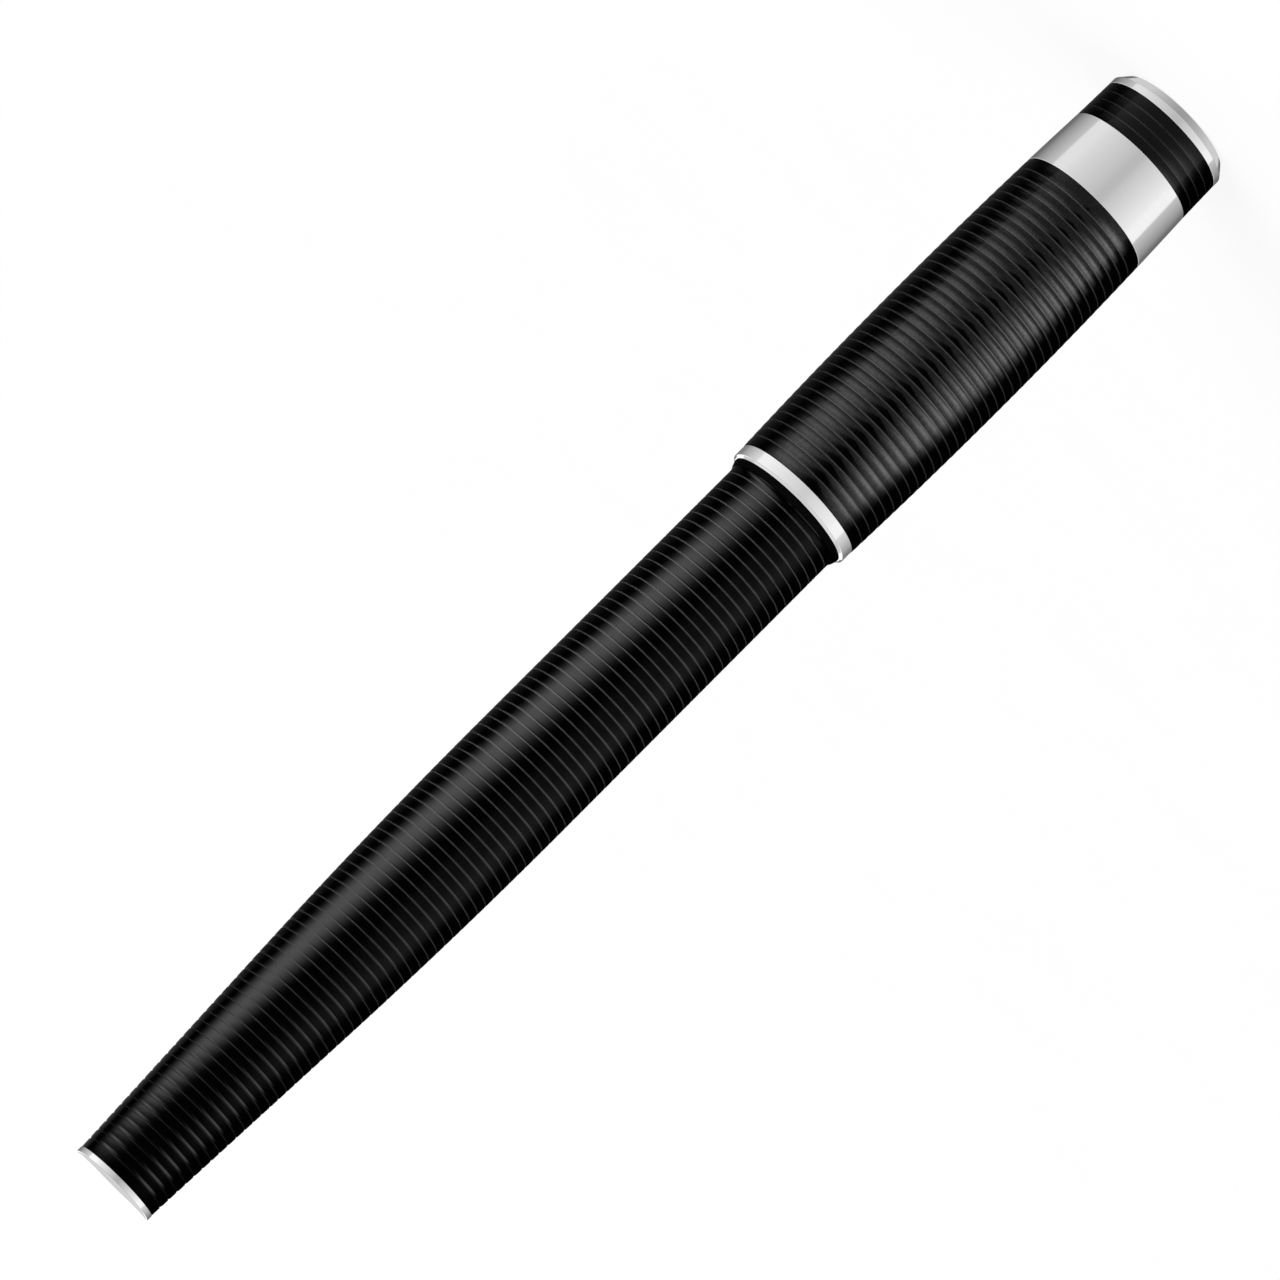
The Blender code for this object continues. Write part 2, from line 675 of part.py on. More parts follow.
def build_barrel(group):
    """Ring-grooved barrel with its thread bush, tail plug and tail cap."""
    low = Z_MOUTH + SEAT
    bush_top = low + BARREL_BUSH_LENGTH
    tube = ribbed(barrel_outline, Z_TAIL, low, BARREL_FIRST_LAND, BARREL_RIB_PITCH)
    tube += [
        (BARREL_FRONT_BORE, low),
        (BARREL_FRONT_BORE, bush_top + SEAT),
        (BARREL_MAIN_BORE, bush_top + SEAT),
        (BARREL_MAIN_BORE, Z_TAPER),
        (TAIL_BORE, Z_CONE),
        (TAIL_BORE, Z_TAIL),
    ]
    turned("barrel_tube", tube, group, BLACK_LACQUER)

    recess = THREAD_RADIUS + O_RING_WIRE / 2.0 + THREAD_PLAY
    recess_top = low + O_RING_WIRE + RUN
    bush = [
        (BARREL_BUSH_BORE, bush_top),
        (BARREL_FRONT_BORE - FIT, bush_top),
        (BARREL_FRONT_BORE - FIT, low),
        (recess, low),
        (recess, recess_top),
        (BARREL_BUSH_BORE, recess_top),
    ]
    turned("barrel_bush", bush, group, BRASS)

    stem_low = Z_TAIL - TAIL_STEM_LENGTH
    plug_radius = TAIL_BORE - FIT
    plug = [
        (0.0, stem_low - SEAT),
        (TAIL_STEM_RADIUS + FIT, stem_low - SEAT),
        (TAIL_STEM_RADIUS + FIT, Z_TAIL),
        (plug_radius, Z_TAIL),
        (plug_radius, Z_PLUG),
        (0.0, Z_PLUG),
    ]
    turned("tail_plug", plug, group, BRASS)

    cap_radius = TAIL_RADIUS + TAIL_CAP_PROUD
    cap_low = Z_TAIL + SEAT
    cap = [
        (0.0, Z_END),
        (cap_radius - TAIL_CAP_ROUND, Z_END),
        (cap_radius, Z_END - TAIL_CAP_ROUND),
        (cap_radius, cap_low),
        (TAIL_STEM_RADIUS, cap_low),
        (TAIL_STEM_RADIUS, stem_low),
        (0.0, stem_low),
    ]
    turned("tail_cap", cap, group, CHROME)


clear_scene()
COLLECTION = bpy.data.collections.new("rollerball_pen")
bpy.context.scene.collection.children.link(COLLECTION)
build_cap(assembly("cap_group"))
build_catch(assembly("catch_group"))
build_section(assembly("section_group"))
build_refill(assembly("refill_group"))
build_ball(assembly("ball_group", Z_BALL))
build_spring(assembly("spring_group"))
build_barrel(assembly("barrel_group"))
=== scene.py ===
"""Looks of the capped rollerball pen: turned pieces, finishes, studio and camera."""

import math

import bpy
from mathutils import Matrix, Vector


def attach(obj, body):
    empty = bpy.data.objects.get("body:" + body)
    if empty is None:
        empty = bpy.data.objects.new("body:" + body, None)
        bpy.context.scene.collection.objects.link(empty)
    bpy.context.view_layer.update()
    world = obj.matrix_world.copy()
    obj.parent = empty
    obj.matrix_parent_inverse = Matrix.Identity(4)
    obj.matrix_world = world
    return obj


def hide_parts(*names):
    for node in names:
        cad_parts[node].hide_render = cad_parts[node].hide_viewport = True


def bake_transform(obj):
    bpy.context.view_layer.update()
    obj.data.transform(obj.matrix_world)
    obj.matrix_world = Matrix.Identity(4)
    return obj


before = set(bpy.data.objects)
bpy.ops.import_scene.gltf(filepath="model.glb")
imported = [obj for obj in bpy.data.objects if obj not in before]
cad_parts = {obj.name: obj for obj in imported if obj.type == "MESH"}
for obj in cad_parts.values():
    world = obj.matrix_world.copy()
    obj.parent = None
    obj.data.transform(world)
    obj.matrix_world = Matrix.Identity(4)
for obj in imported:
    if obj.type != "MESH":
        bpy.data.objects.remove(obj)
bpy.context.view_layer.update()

MM = 0.001

# Stations along the axis, in millimetres from the crown's face
Z_COLLAR = 1.75
Z_BAND = 5.84
Z_TUBE = 12.22
Z_LIP = 50.28
Z_RING_END = 51.78
Z_MOUTH = 52.4
Z_BARREL = 52.45
Z_TAPER = 86.6
Z_CONE = 114.6
Z_TAIL = 138.74
Z_END = 139.69
SEAT = 0.05

# Radii, in millimetres
CROWN_RADIUS = 6.76
BAND_RADIUS = 6.85
MOUTH_RADIUS = 6.94
CAP_BELLY = 0.44
LIP_RADIUS = 6.89
BARREL_RADIUS = 6.195
TAIL_RADIUS = 4.41
BAND_BORE = 5.95
NECK_RADIUS = 5.85
NECK_BORE = 5.05
CAP_BORE = 6.05
LINER_BORE = 5.4
LINER_RADIUS = 5.95
WELL_RADIUS = 4.4
TAIL_DOME = 0.2
TAIL_EDGE = 0.14

# Ring grooves: spacing, top groove and count of each shell
CAP_PITCH = 1.044
BARREL_PITCH = 1.0297
CAP_GROOVES = (49.16, 35)
COLLAR_GROOVES = (4.92, 3)
BARREL_GROOVES = (137.71, 83)
CAP_SWELL = 0.022
COLLAR_SWELL = 0.006
BARREL_SWELL = 0.003
BEVEL_SLOPE = 0.3
BEVEL_SHARES = (0.0, 0.85, 1.0, 1.15)
BEVEL_NARROW, BEVEL_WIDE = 0.08, 0.22
Z_BEVEL = 104.0
GROOVE_DEPTH = 0.022
GROOVE_HALF = 0.07
GROOVE_FLOOR = 0.06
LAND_POINTS = 6
BARREL_POINTS = 3

# Thread between section and barrel
THREAD_LEAD = 0.75
THREAD_DEPTH = 0.3
THREAD_STEP = 0.05
THREAD_STEEPNESS, THREAD_FLAT = 1.6, 0.3

# Spring behind the refill
COIL_RADIUS = 2.2
WIRE_RADIUS = 0.2
COIL_LOW, COIL_HIGH = 123.2, 130.8
COIL_TURNS = 7
COIL_STEPS, WIRE_SIDES = 32, 10

# Inside of the cap
Z_CROWN = 1.7
CROWN_CHAMFER, CROWN_CHAMFER_HEIGHT = 0.77, 0.95
STUB_RADIUS, Z_STUB = 4.95, 3.7
SCREW_HOLE, Z_SCREW_HOLE = 1.1, 2.3
SCREW_RADIUS, HEAD_RADIUS, HEAD_EDGE = 1.0, 2.0, 0.4
Z_SCREW, Z_HEAD, Z_HEAD_TOP = 2.35, 4.8, 6.0
DRIVE_FLOOR, DRIVE_MOUTH, Z_DRIVE = 0.5, 0.7, 5.4
Z_WEB, Z_WEB_TOP = 3.75, 4.75
Z_NECK_END = 13.42
LIP_CHAMFER, LIP_CHAMFER_HEIGHT = 0.26, 0.22
LINER_TIP, Z_LINER, Z_LINER_STEP = 4.95, 6.05, 13.47
Z_WELL, Z_WELL_END, Z_LINER_BORE = 7.15, 14.0, 15.0
BEAD_HEIGHT, BEAD_HALF, Z_BEAD = 0.07, 0.4, 48.0
FLANGE_TIP, FLANGE_ROOT = 6.37, 6.57
BAND_STEPS = 12

# Catch ring, grip, nose, threaded bush and seal
CATCH_BORE, CATCH_SHOULDER, CATCH_RADIUS = 4.6, 4.95, 5.28
CATCH_LOW, CATCH_HIGH, CATCH_BEVEL = 46.2, 47.4, 0.33
CATCH_SEAT, Z_CATCH_SEAT, Z_CATCH_SEAT_END = 4.5, 46.15, 47.45
Z_GRIP, Z_GRIP_END = 23.4, 51.05
GRIP_TIP, GRIP_RISE, GRIP_WAIST, GRIP_REAR = 4.0, 0.95, 0.25, 4.95
GRIP_BORE, NOSE_SOCKET, BUSH_SOCKET = 3.3, 3.55, 4.2
Z_NOSE_SOCKET, Z_BUSH_SOCKET = 27.2, 44.05
Z_NOSE, NOSE_LENGTH, Z_NOSE_BASE = 14.85, 8.5, 23.35
NOSE_TIP, NOSE_RISE = 1.9, 2.1
NOSE_HOLE, NOSE_BORE, NOSE_STEM = 1.4, 2.25, 3.45
Z_NOSE_SEAT, Z_NOSE_STEM = 18.35, 27.15
THREAD_RADIUS, Z_THREAD, Z_THREAD_END = 4.5, 53.3, 60.4
SEAL_SEAT, BUSH_FLANGE, BUSH_STEM = 4.0, 5.2, 4.1
Z_BUSH, Z_FLANGE, Z_FLANGE_TOP = 44.1, 51.1, 52.35
SEAL_RADIUS, SEAL_WIRE, Z_SEAL = 4.45, 0.4, 52.8
GRIP_STEPS, NOSE_STEPS, SEAL_STEPS = 24, 16, 16

# Refill
REFILL_RADIUS, REFILL_BORE, CORE_RADIUS = 3.05, 2.8, 2.7
FEED_RADIUS, FEED_BORE, Z_FEED = 0.35, 0.41, 13.1
POINT_RADIUS, Z_POINT_TOP = 1.15, 21.55
POINT_CONE = [(POINT_RADIUS, 14.75), (0.9, 14.1), (0.53, 12.91), (0.4, 12.31)]
POINT_SOCKET = [(0.34, 12.31), (FEED_BORE, 12.5), (FEED_BORE, 12.91), (FEED_BORE, 13.03)]
HOLDER_TIP, HOLDER_HOLE = 2.0, 1.25
Z_HOLDER, Z_POINT_SEAT = 18.55, 21.6
Z_HOLDER_FLANGE, Z_HOLDER_STEP, Z_HOLDER_TOP = 27.2, 28.4, 32.4
Z_INK_TUBE, Z_INK_TUBE_END = 28.45, 121.9
Z_FIBRE, Z_FIBRE_END, FIBRE_EDGE = 32.45, 117.9, 0.2
VENT_RADIUS, Z_PLUG, Z_PLUG_STEP, Z_PLUG_END = 0.5, 117.95, 121.95, 122.95
BALL_RADIUS, Z_BALL, BALL_STEPS = 0.35, 12.5, 16

# Spring seat, barrel and tail
SEAT_STEM, SEAT_FLANGE = 1.8, 3.2
Z_SEAT, Z_SEAT_FLANGE, Z_SEAT_END = 129.55, 131.05, 131.65
BARREL_FLARE, BARREL_FLARE_LENGTH = 0.1, 0.3
BARREL_FRONT_BORE, BARREL_MAIN_BORE, TAIL_BORE = 5.45, 4.6, 3.4
Z_FRONT_BORE = 61.1
BUSH_BORE, BUSH_RECESS, BUSH_RADIUS = 4.65, 5.05, 5.35
Z_BUSH_RECESS, Z_BUSH_END = 53.5, 61.05
PLUG_RADIUS, STEM_HOLE, STEM_RADIUS = 3.3, 1.6, 1.5
Z_TAIL_PLUG, Z_STEM_HOLE, Z_STEM = 131.7, 134.69, 134.74
TAIL_PROUD, TAIL_FOOT = 0.04, 0.02
DOME_STEPS, TAIL_EDGE_STEPS = 8, 4

# Meshing: steps round the axis, rounding of edges and tolerances
SEGMENTS, INNER_SEGMENTS, BALL_SEGMENTS, FEED_SEGMENTS = 128, 48, 32, 24
EDGE, FINE_EDGE = 0.06, 0.03
CORNER_SHARE, CORNER_STEPS, LEAST_CUT = 0.35, 3, 1e-4
ON_AXIS = 1e-6
FLAT_FROM = 1.25
SHARP_ANGLE = math.radians(40)


def cap_outline(z):
    """Radius of the cap's swelling side, band and tube together."""
    s = (z - Z_BAND) / (Z_LIP - Z_BAND)
    return BAND_RADIUS + (MOUTH_RADIUS - BAND_RADIUS) * s + 4.0 * CAP_BELLY * s * (1.0 - s)


def collar_outline(z):
    """Radius of the collar, straight from the crown to the band."""
    s = (z - Z_COLLAR) / (Z_BAND - Z_COLLAR)
    return CROWN_RADIUS + (BAND_RADIUS - CROWN_RADIUS) * s


def barrel_outline(z):
    """Radius of the barrel: straight, then a parabolic blend into a cone."""
    blend = Z_CONE - Z_TAPER
    slope = (BARREL_RADIUS - TAIL_RADIUS) / (blend / 2.0 + Z_TAIL - Z_CONE)
    if z <= Z_TAPER:
        return BARREL_RADIUS
    if z <= Z_CONE:
        return BARREL_RADIUS - slope * (z - Z_TAPER) ** 2 / (2.0 * blend)
    return TAIL_RADIUS + slope * (Z_TAIL - z)


def no_bevel(_):
    """Width of the bevel on the ribs of cap and collar, which have none."""
    return 0.0


def tail_bevel(z):
    """Width of the bevel on the barrel's ribs, growing towards the tail."""
    share = max(0.0, (z - Z_BEVEL) / (Z_TAIL - Z_BEVEL))
    return BEVEL_NARROW + (BEVEL_WIDE - BEVEL_NARROW) * share


def land(outline, top, bottom, swell, bevel, steps):
    """One rib from its upper to its lower end: slightly crowned, its upper edge bevelled."""
    height = top - bottom
    depths = [bevel * share for share in BEVEL_SHARES] if bevel else [0.0]
    start = depths[-1]
    depths += [start + (height - start) * i / steps for i in range(1, steps + 1)]
    points = []
    for depth in depths:
        crown = swell * (2.0 * depth / height - 1.0) ** 2
        cut = BEVEL_SLOPE * max(0.0, bevel - depth)
        points.append((outline(top - depth) - crown - cut, top - depth))
    return points


def ribbed(outline, top, bottom, grooves, pitch, swell, bevel, steps=LAND_POINTS):
    """Outer side of a ring-grooved shell, top to bottom; groove points carry a third value."""
    first, count = grooves
    stations = [first - i * pitch for i in range(count)]
    uppers = [top] + [z - GROOVE_HALF for z in stations]
    lowers = [z + GROOVE_HALF for z in stations] + [bottom]
    side = []
    for i in range(count + 1):
        width = bevel(uppers[i]) if i > 0 else 0.0
        rib = land(outline, uppers[i], lowers[i], swell, width, steps)
        if i > 0:
            rib[0] += (True,)
        if i < count:
            rib[-1] += (True,)
            cut = BEVEL_SLOPE * bevel(stations[i])
            depth = outline(stations[i]) - swell - cut - GROOVE_DEPTH
            rib += [(depth, stations[i] + step, True) for step in (GROOVE_FLOOR, -GROOVE_FLOOR)]
        side += rib
    return side


def rounded(points, radius, steps=CORNER_STEPS):
    """A closed profile with its corners off the axis rounded, and the flats beside them kept flat."""
    result = []
    count = len(points)
    for i, (r, z) in enumerate(points):
        here = Vector((r, z))
        before = Vector(points[i - 1]) - here
        after = Vector(points[(i + 1) % count]) - here
        cut = min(radius, before.length * CORNER_SHARE, after.length * CORNER_SHARE)
        if r < ON_AXIS or cut < LEAST_CUT:
            result.append((r, z))
            continue
        start = before.normalized() * cut
        end = after.normalized() * cut
        arc = [start * (1.0 - k / steps) ** 2 + end * (k / steps) ** 2 for k in range(steps + 1)]
        result += [tuple(here + offset) for offset in [start * FLAT_FROM] + arc + [end * FLAT_FROM]]
    return result


def mesh_piece(name, verts, faces, slots=None):
    """A smooth-shaded mesh with its sharp edges kept, sized from millimetres."""
    mesh = bpy.data.meshes.new(name)
    mesh.from_pydata([tuple(c * MM for c in v) for v in verts], [], faces)
    if slots:
        mesh.polygons.foreach_set("material_index", slots)
    mesh.polygons.foreach_set("use_smooth", [True] * len(mesh.polygons))
    mesh.set_sharp_from_angle(angle=SHARP_ANGLE)
    piece = bpy.data.objects.new(name, mesh)
    bpy.context.scene.collection.objects.link(piece)
    return piece


def lathe(name, profile, thread=None, segments=SEGMENTS):
    """Turn a closed (radius, height) profile about the axis; thread cuts a helix into part of it."""
    area = sum(
        profile[i - 1][0] * profile[i][1] - profile[i][0] * profile[i - 1][1]
        for i in range(len(profile))
    )
    if area < 0.0:
        profile = profile[::-1]
    verts, rings, faces, slots = [], [], [], []
    for r, z, *_ in profile:
        if r < ON_AXIS:
            rings.append([len(verts)] * segments)
            verts.append((0.0, 0.0, z))
            continue
        rings.append(list(range(len(verts), len(verts) + segments)))
        for k in range(segments):
            turn = k / segments
            radius = r + (thread(r, z, turn) if thread else 0.0)
            angle = 2.0 * math.pi * turn
            verts.append((radius * math.cos(angle), radius * math.sin(angle), z))
    for i in range(len(rings)):
        low, high = rings[i - 1], rings[i]
        if low[0] == low[1] and high[0] == high[1]:
            continue
        in_groove = int(len(profile[i - 1]) > 2 and len(profile[i]) > 2)
        for k in range(segments):
            n = (k + 1) % segments
            face = [low[k], low[n], high[n], high[k]]
            faces.append(list(dict.fromkeys(face)))
            slots.append(in_groove)
    return mesh_piece(name, verts, faces, slots)


def helix_cut(radius, low, high, sign):
    """A thread's depth at a turn and height: a rounded helix on the wall of that radius."""
    def cut(r, z, turn):
        if abs(r - radius) > ON_AXIS or not low < z < high:
            return 0.0
        phase = (z / THREAD_LEAD - turn) % 1.0
        wave = min(1.0, max(0.0, THREAD_STEEPNESS * abs(2.0 * phase - 1.0) - THREAD_FLAT))
        fade = min(1.0, (z - low) / THREAD_LEAD, (high - z) / THREAD_LEAD)
        return sign * THREAD_DEPTH * wave * fade
    return cut


def wall(radius, start, end, step=THREAD_STEP):
    """Points up or down a straight wall, close enough to carry a thread."""
    count = max(1, int(abs(end - start) / step))
    return [(radius, start + (end - start) * i / count) for i in range(count + 1)]


# Materials: the noise's usual range, the grooves' grain, and the painted shade that darkens the barrel
# grooves' floors towards the tail
NOISE_LOW, NOISE_HIGH = 0.3, 0.7
GROOVE_GRAIN = 6000.0
PAINTED_SHADE_FROM, PAINTED_SHADE_LEFT = 84.0, 0.1


def nodes_of(name):
    """A new node material, with its tree and its shader."""
    material = bpy.data.materials.new(name)
    material.use_nodes = True
    return material, material.node_tree, material.node_tree.nodes["Principled BSDF"]


def noise(tree, scale, stretch=(1.0, 1.0, 1.0), detail=3.0):
    """Noise on the piece's own coordinates, in features per metre."""
    place = tree.nodes.new("ShaderNodeTexCoord")
    mapping = tree.nodes.new("ShaderNodeMapping")
    mapping.inputs["Scale"].default_value = stretch
    texture = tree.nodes.new("ShaderNodeTexNoise")
    texture.inputs["Scale"].default_value = scale
    texture.inputs["Detail"].default_value = detail
    tree.links.new(place.outputs["Object"], mapping.inputs["Vector"])
    tree.links.new(mapping.outputs["Vector"], texture.inputs["Vector"])
    return texture.outputs["Fac"]


def spread_to(tree, source, low, high, socket):
    """Send a noise to a socket as values between low and high."""
    span = tree.nodes.new("ShaderNodeMapRange")
    span.inputs["From Min"].default_value = NOISE_LOW
    span.inputs["From Max"].default_value = NOISE_HIGH
    span.inputs["To Min"].default_value = low
    span.inputs["To Max"].default_value = high
    tree.links.new(source, span.inputs["Value"])
    tree.links.new(span.outputs["Result"], socket)


def tint(tree, source, dark, light, socket):
    """Send a noise to a colour socket as a blend of two close colours."""
    ramp = tree.nodes.new("ShaderNodeValToRGB")
    ramp.color_ramp.elements[0].position = NOISE_LOW
    ramp.color_ramp.elements[1].position = NOISE_HIGH
    ramp.color_ramp.elements[0].color = (*dark, 1.0)
    ramp.color_ramp.elements[1].color = (*light, 1.0)
    tree.links.new(source, ramp.inputs["Fac"])
    tree.links.new(ramp.outputs["Color"], socket)


def bump(tree, shader, source, distance, strength):
    """Fine relief from a noise."""
    node = tree.nodes.new("ShaderNodeBump")
    node.inputs["Distance"].default_value = distance
    node.inputs["Strength"].default_value = strength
    tree.links.new(source, node.inputs["Height"])
    tree.links.new(node.outputs["Normal"], shader.inputs["Normal"])


def finish(name, dark, light, metallic, rough, grain, stretch, relief, shine=None):
    """A material whose colour, gloss and relief all vary with a fine procedural grain."""
    material, tree, shader = nodes_of(name)
    shader.inputs["Metallic"].default_value = metallic
    source = noise(tree, grain, stretch)
    tint(tree, source, dark, light, shader.inputs["Base Color"])
    spread_to(tree, source, rough[0], rough[1], shader.inputs["Roughness"])
    if relief:
        bump(tree, shader, source, relief * MM, 1.0)
    if isinstance(shine, tuple):
        spread_to(tree, source, shine[0], shine[1], shader.inputs["Specular IOR Level"])
    elif shine:
        shader.inputs["Specular IOR Level"].default_value = shine
    return material


def groove_finish(name, dark, light, metallic, rough):
    """Bright cut-metal floors of the ring grooves, with painted shade darkening them towards the tail."""
    material, tree, shader = nodes_of(name)
    shader.inputs["Metallic"].default_value = metallic
    source = noise(tree, GROOVE_GRAIN)
    spread_to(tree, source, rough[0], rough[1], shader.inputs["Roughness"])
    place = tree.nodes.new("ShaderNodeTexCoord")
    axes = tree.nodes.new("ShaderNodeSeparateXYZ")
    tree.links.new(place.outputs["Object"], axes.inputs["Vector"])
    # Painted shade: the groove colour is scaled down along the axis, from full strength to a small share at
    # the tail
    fade = tree.nodes.new("ShaderNodeMapRange")
    fade.inputs["From Min"].default_value = PAINTED_SHADE_FROM * MM
    fade.inputs["From Max"].default_value = Z_TAIL * MM
    fade.inputs["To Min"].default_value = 1.0
    fade.inputs["To Max"].default_value = PAINTED_SHADE_LEFT
    tree.links.new(axes.outputs["Z"], fade.inputs["Value"])
    scaled = tree.nodes.new("ShaderNodeVectorMath")
    scaled.operation = "SCALE"
    tint(tree, source, dark, light, scaled.inputs[0])
    tree.links.new(fade.outputs["Result"], scaled.inputs["Scale"])
    tree.links.new(scaled.outputs["Vector"], shader.inputs["Base Color"])
    return material


EVEN = (1.0, 1.0, 1.0)
TURNED = (0.12, 0.12, 6.0)
DRAWN = (6.0, 6.0, 0.08)
DEEP_BLACK, BARREL_BLACK, CAP_BLACK = (0.0003,) * 3, (0.0005,) * 3, (0.0006,) * 3
LACQUERED, GROOVED = (0.08, 0.12), (0.3, 0.4)

# Each finish: dark, light, metallic, roughness, grain per metre, stretch, relief in millimetres, shine
FINISHES = {
    "barrel_lacquer": (DEEP_BLACK, BARREL_BLACK, 0.0, (0.08, 0.11), 5000.0, EVEN, 0.0, (0.46, 0.54)),
    "cap_lacquer": (DEEP_BLACK, CAP_BLACK, 0.0, LACQUERED, 6000.0, EVEN, 0.002, (0.34, 0.66)),
    "collar_lacquer": (DEEP_BLACK, CAP_BLACK, 0.0, LACQUERED, 6000.0, EVEN, 0.002, 0.33),
    "cap_groove": ((0.085, 0.085, 0.0855), (0.1, 0.1, 0.1005), 0.8, GROOVED, GROOVE_GRAIN, EVEN, 0.0),
    "collar_groove": ((0.042, 0.042, 0.0425), (0.05, 0.05, 0.0505), 0.8, GROOVED, GROOVE_GRAIN, EVEN, 0.0),
    "chrome": ((0.89, 0.89, 0.895), (0.92, 0.92, 0.92), 1.0, (0.07, 0.11), 2500.0, TURNED, 0.0),
    "steel": ((0.5, 0.5, 0.51), (0.64, 0.64, 0.65), 1.0, (0.22, 0.34), 3000.0, DRAWN, 0.0006),
    "nickel": ((0.68, 0.65, 0.58), (0.78, 0.75, 0.69), 1.0, (0.16, 0.24), 4000.0, TURNED, 0.0003),
    "brass": ((0.6, 0.42, 0.15), (0.76, 0.55, 0.23), 1.0, (0.2, 0.32), 2500.0, TURNED, 0.0006),
    "white_plastic": ((0.7, 0.7, 0.68), (0.8, 0.8, 0.78), 0.0, (0.38, 0.5), 2500.0, EVEN, 0.001),
    "black_plastic": (
        (0.001, 0.001, 0.0011), (0.002, 0.002, 0.0021), 0.0, (0.38, 0.5), 5000.0, EVEN, 0.001, 0.08
    ),
    "ink_fibre": ((0.01, 0.014, 0.06), (0.04, 0.05, 0.14), 0.0, (0.8, 0.95), 2500.0, DRAWN, 0.02),
    "rubber": ((0.01, 0.01, 0.01), (0.02, 0.02, 0.02), 0.0, (0.6, 0.8), 5000.0, EVEN, 0.002),
}
MATERIALS = {name: finish(name, *values) for name, values in FINISHES.items()}
# Barrel groove floors: cut-metal grey with painted shade darkening it towards the tail
MATERIALS["barrel_groove"] = groove_finish(
    "barrel_groove", (0.11, 0.11, 0.1105), (0.125, 0.125, 0.1255), 0.7, GROOVED
)

CAP_SIDE = bpy.data.collections.new("cap_side")
BARREL_SIDE = bpy.data.collections.new("barrel_side")
METAL_SIDE = bpy.data.collections.new("metal_side")
METALS = ("chrome", "steel", "nickel", "brass")


def dress(piece, node, body, slot, material=None):
    """Give a piece its finish and the body it rides on, if any, and hide the CAD node it replaces."""
    material = material or slot
    piece.data.materials.append(MATERIALS[material])
    if "lacquer" in material:
        piece.data.materials.append(MATERIALS[material.replace("lacquer", "groove")])
    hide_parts(node)
    side = BARREL_SIDE if material == "barrel_lacquer" else CAP_SIDE
    side = METAL_SIDE if material in METALS else side
    side.objects.link(piece)
    if body:
        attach(piece, body)
    return piece


def sleeve(inner, outer, low, high):
    """Profile of a plain tube, or of a rod where the inner radius is 0."""
    return [(inner, high), (outer, high), (outer, low), (inner, low)]


def build_cap():
    """Crown, screw, collar, band, tube, lip ring and liner."""
    crown = [
        (0.0, Z_SCREW_HOLE), (SCREW_HOLE, Z_SCREW_HOLE), (SCREW_HOLE, Z_STUB), (STUB_RADIUS, Z_STUB),
        (STUB_RADIUS, Z_CROWN), (CROWN_RADIUS, Z_CROWN), (CROWN_RADIUS, CROWN_CHAMFER_HEIGHT),
        (CROWN_RADIUS - CROWN_CHAMFER, 0.0), (0.0, 0.0),
    ]
    dress(lathe("crown", rounded(crown, EDGE)), "cap_crown", "cap", "chrome")

    screw = [
        (0.0, Z_DRIVE), (DRIVE_FLOOR, Z_DRIVE), (DRIVE_MOUTH, Z_HEAD_TOP),
        (HEAD_RADIUS - HEAD_EDGE, Z_HEAD_TOP), (HEAD_RADIUS, Z_HEAD_TOP - HEAD_EDGE), (HEAD_RADIUS, Z_HEAD),
        (SCREW_RADIUS, Z_HEAD), (SCREW_RADIUS, Z_SCREW), (0.0, Z_SCREW),
    ]
    dress(lathe("screw", rounded(screw, EDGE)), "crown_screw", "cap", "steel")

    collar = ribbed(collar_outline, Z_BAND, Z_COLLAR, COLLAR_GROOVES, CAP_PITCH, COLLAR_SWELL, no_bevel)
    collar += [(BAND_BORE, Z_COLLAR), (BAND_BORE, Z_BAND)]
    dress(lathe("collar", collar), "cap_collar", "cap", "black_lacquer", "collar_lacquer")

    low = Z_BAND + SEAT
    heights = [low + (Z_TUBE - low) * i / BAND_STEPS for i in range(BAND_STEPS + 1)]
    band = [(cap_outline(z), z) for z in heights] + [(BAND_BORE, Z_TUBE), (BAND_BORE, low)]
    dress(lathe("band", rounded(band, EDGE)), "cap_band", "cap", "chrome")

    tube = ribbed(cap_outline, Z_LIP, Z_TUBE + SEAT, CAP_GROOVES, CAP_PITCH, CAP_SWELL, no_bevel)
    tube += [
        (NECK_RADIUS, Z_TUBE + SEAT), (NECK_RADIUS, Z_COLLAR), (NECK_BORE, Z_COLLAR), (NECK_BORE, Z_WEB),
        (SCREW_HOLE, Z_WEB), (SCREW_HOLE, Z_WEB_TOP), (NECK_BORE, Z_WEB_TOP), (NECK_BORE, Z_NECK_END),
        (CAP_BORE, Z_NECK_END), (CAP_BORE, Z_LIP),
    ]
    dress(lathe("cap_shell", tube), "cap_tube", "cap", "black_lacquer", "cap_lacquer")

    low = Z_LIP + SEAT
    lip = [
        (CAP_BORE, Z_RING_END), (LIP_RADIUS - LIP_CHAMFER, Z_RING_END),
        (LIP_RADIUS, Z_RING_END - LIP_CHAMFER_HEIGHT), (LIP_RADIUS, low), (CAP_BORE, low),
    ]
    dress(lathe("lip_ring", rounded(lip, EDGE)), "cap_lip_ring", "cap", "chrome")

    flange = Z_RING_END + SEAT
    liner = [
        (0.0, Z_WELL), (WELL_RADIUS, Z_WELL), (WELL_RADIUS, Z_WELL_END), (LINER_BORE, Z_LINER_BORE),
        (LINER_BORE, Z_BEAD - BEAD_HALF), (LINER_BORE - BEAD_HEIGHT, Z_BEAD),
        (LINER_BORE, Z_BEAD + BEAD_HALF), (LINER_BORE, Z_MOUTH), (FLANGE_TIP, Z_MOUTH),
        (FLANGE_ROOT, flange), (LINER_RADIUS, flange),
        (LINER_RADIUS, Z_LINER_STEP), (LINER_TIP, Z_LINER_STEP), (LINER_TIP, Z_LINER), (0.0, Z_LINER),
    ]
    dress(lathe("liner", rounded(liner, EDGE)), "inner_cap", "cap", "black_plastic")


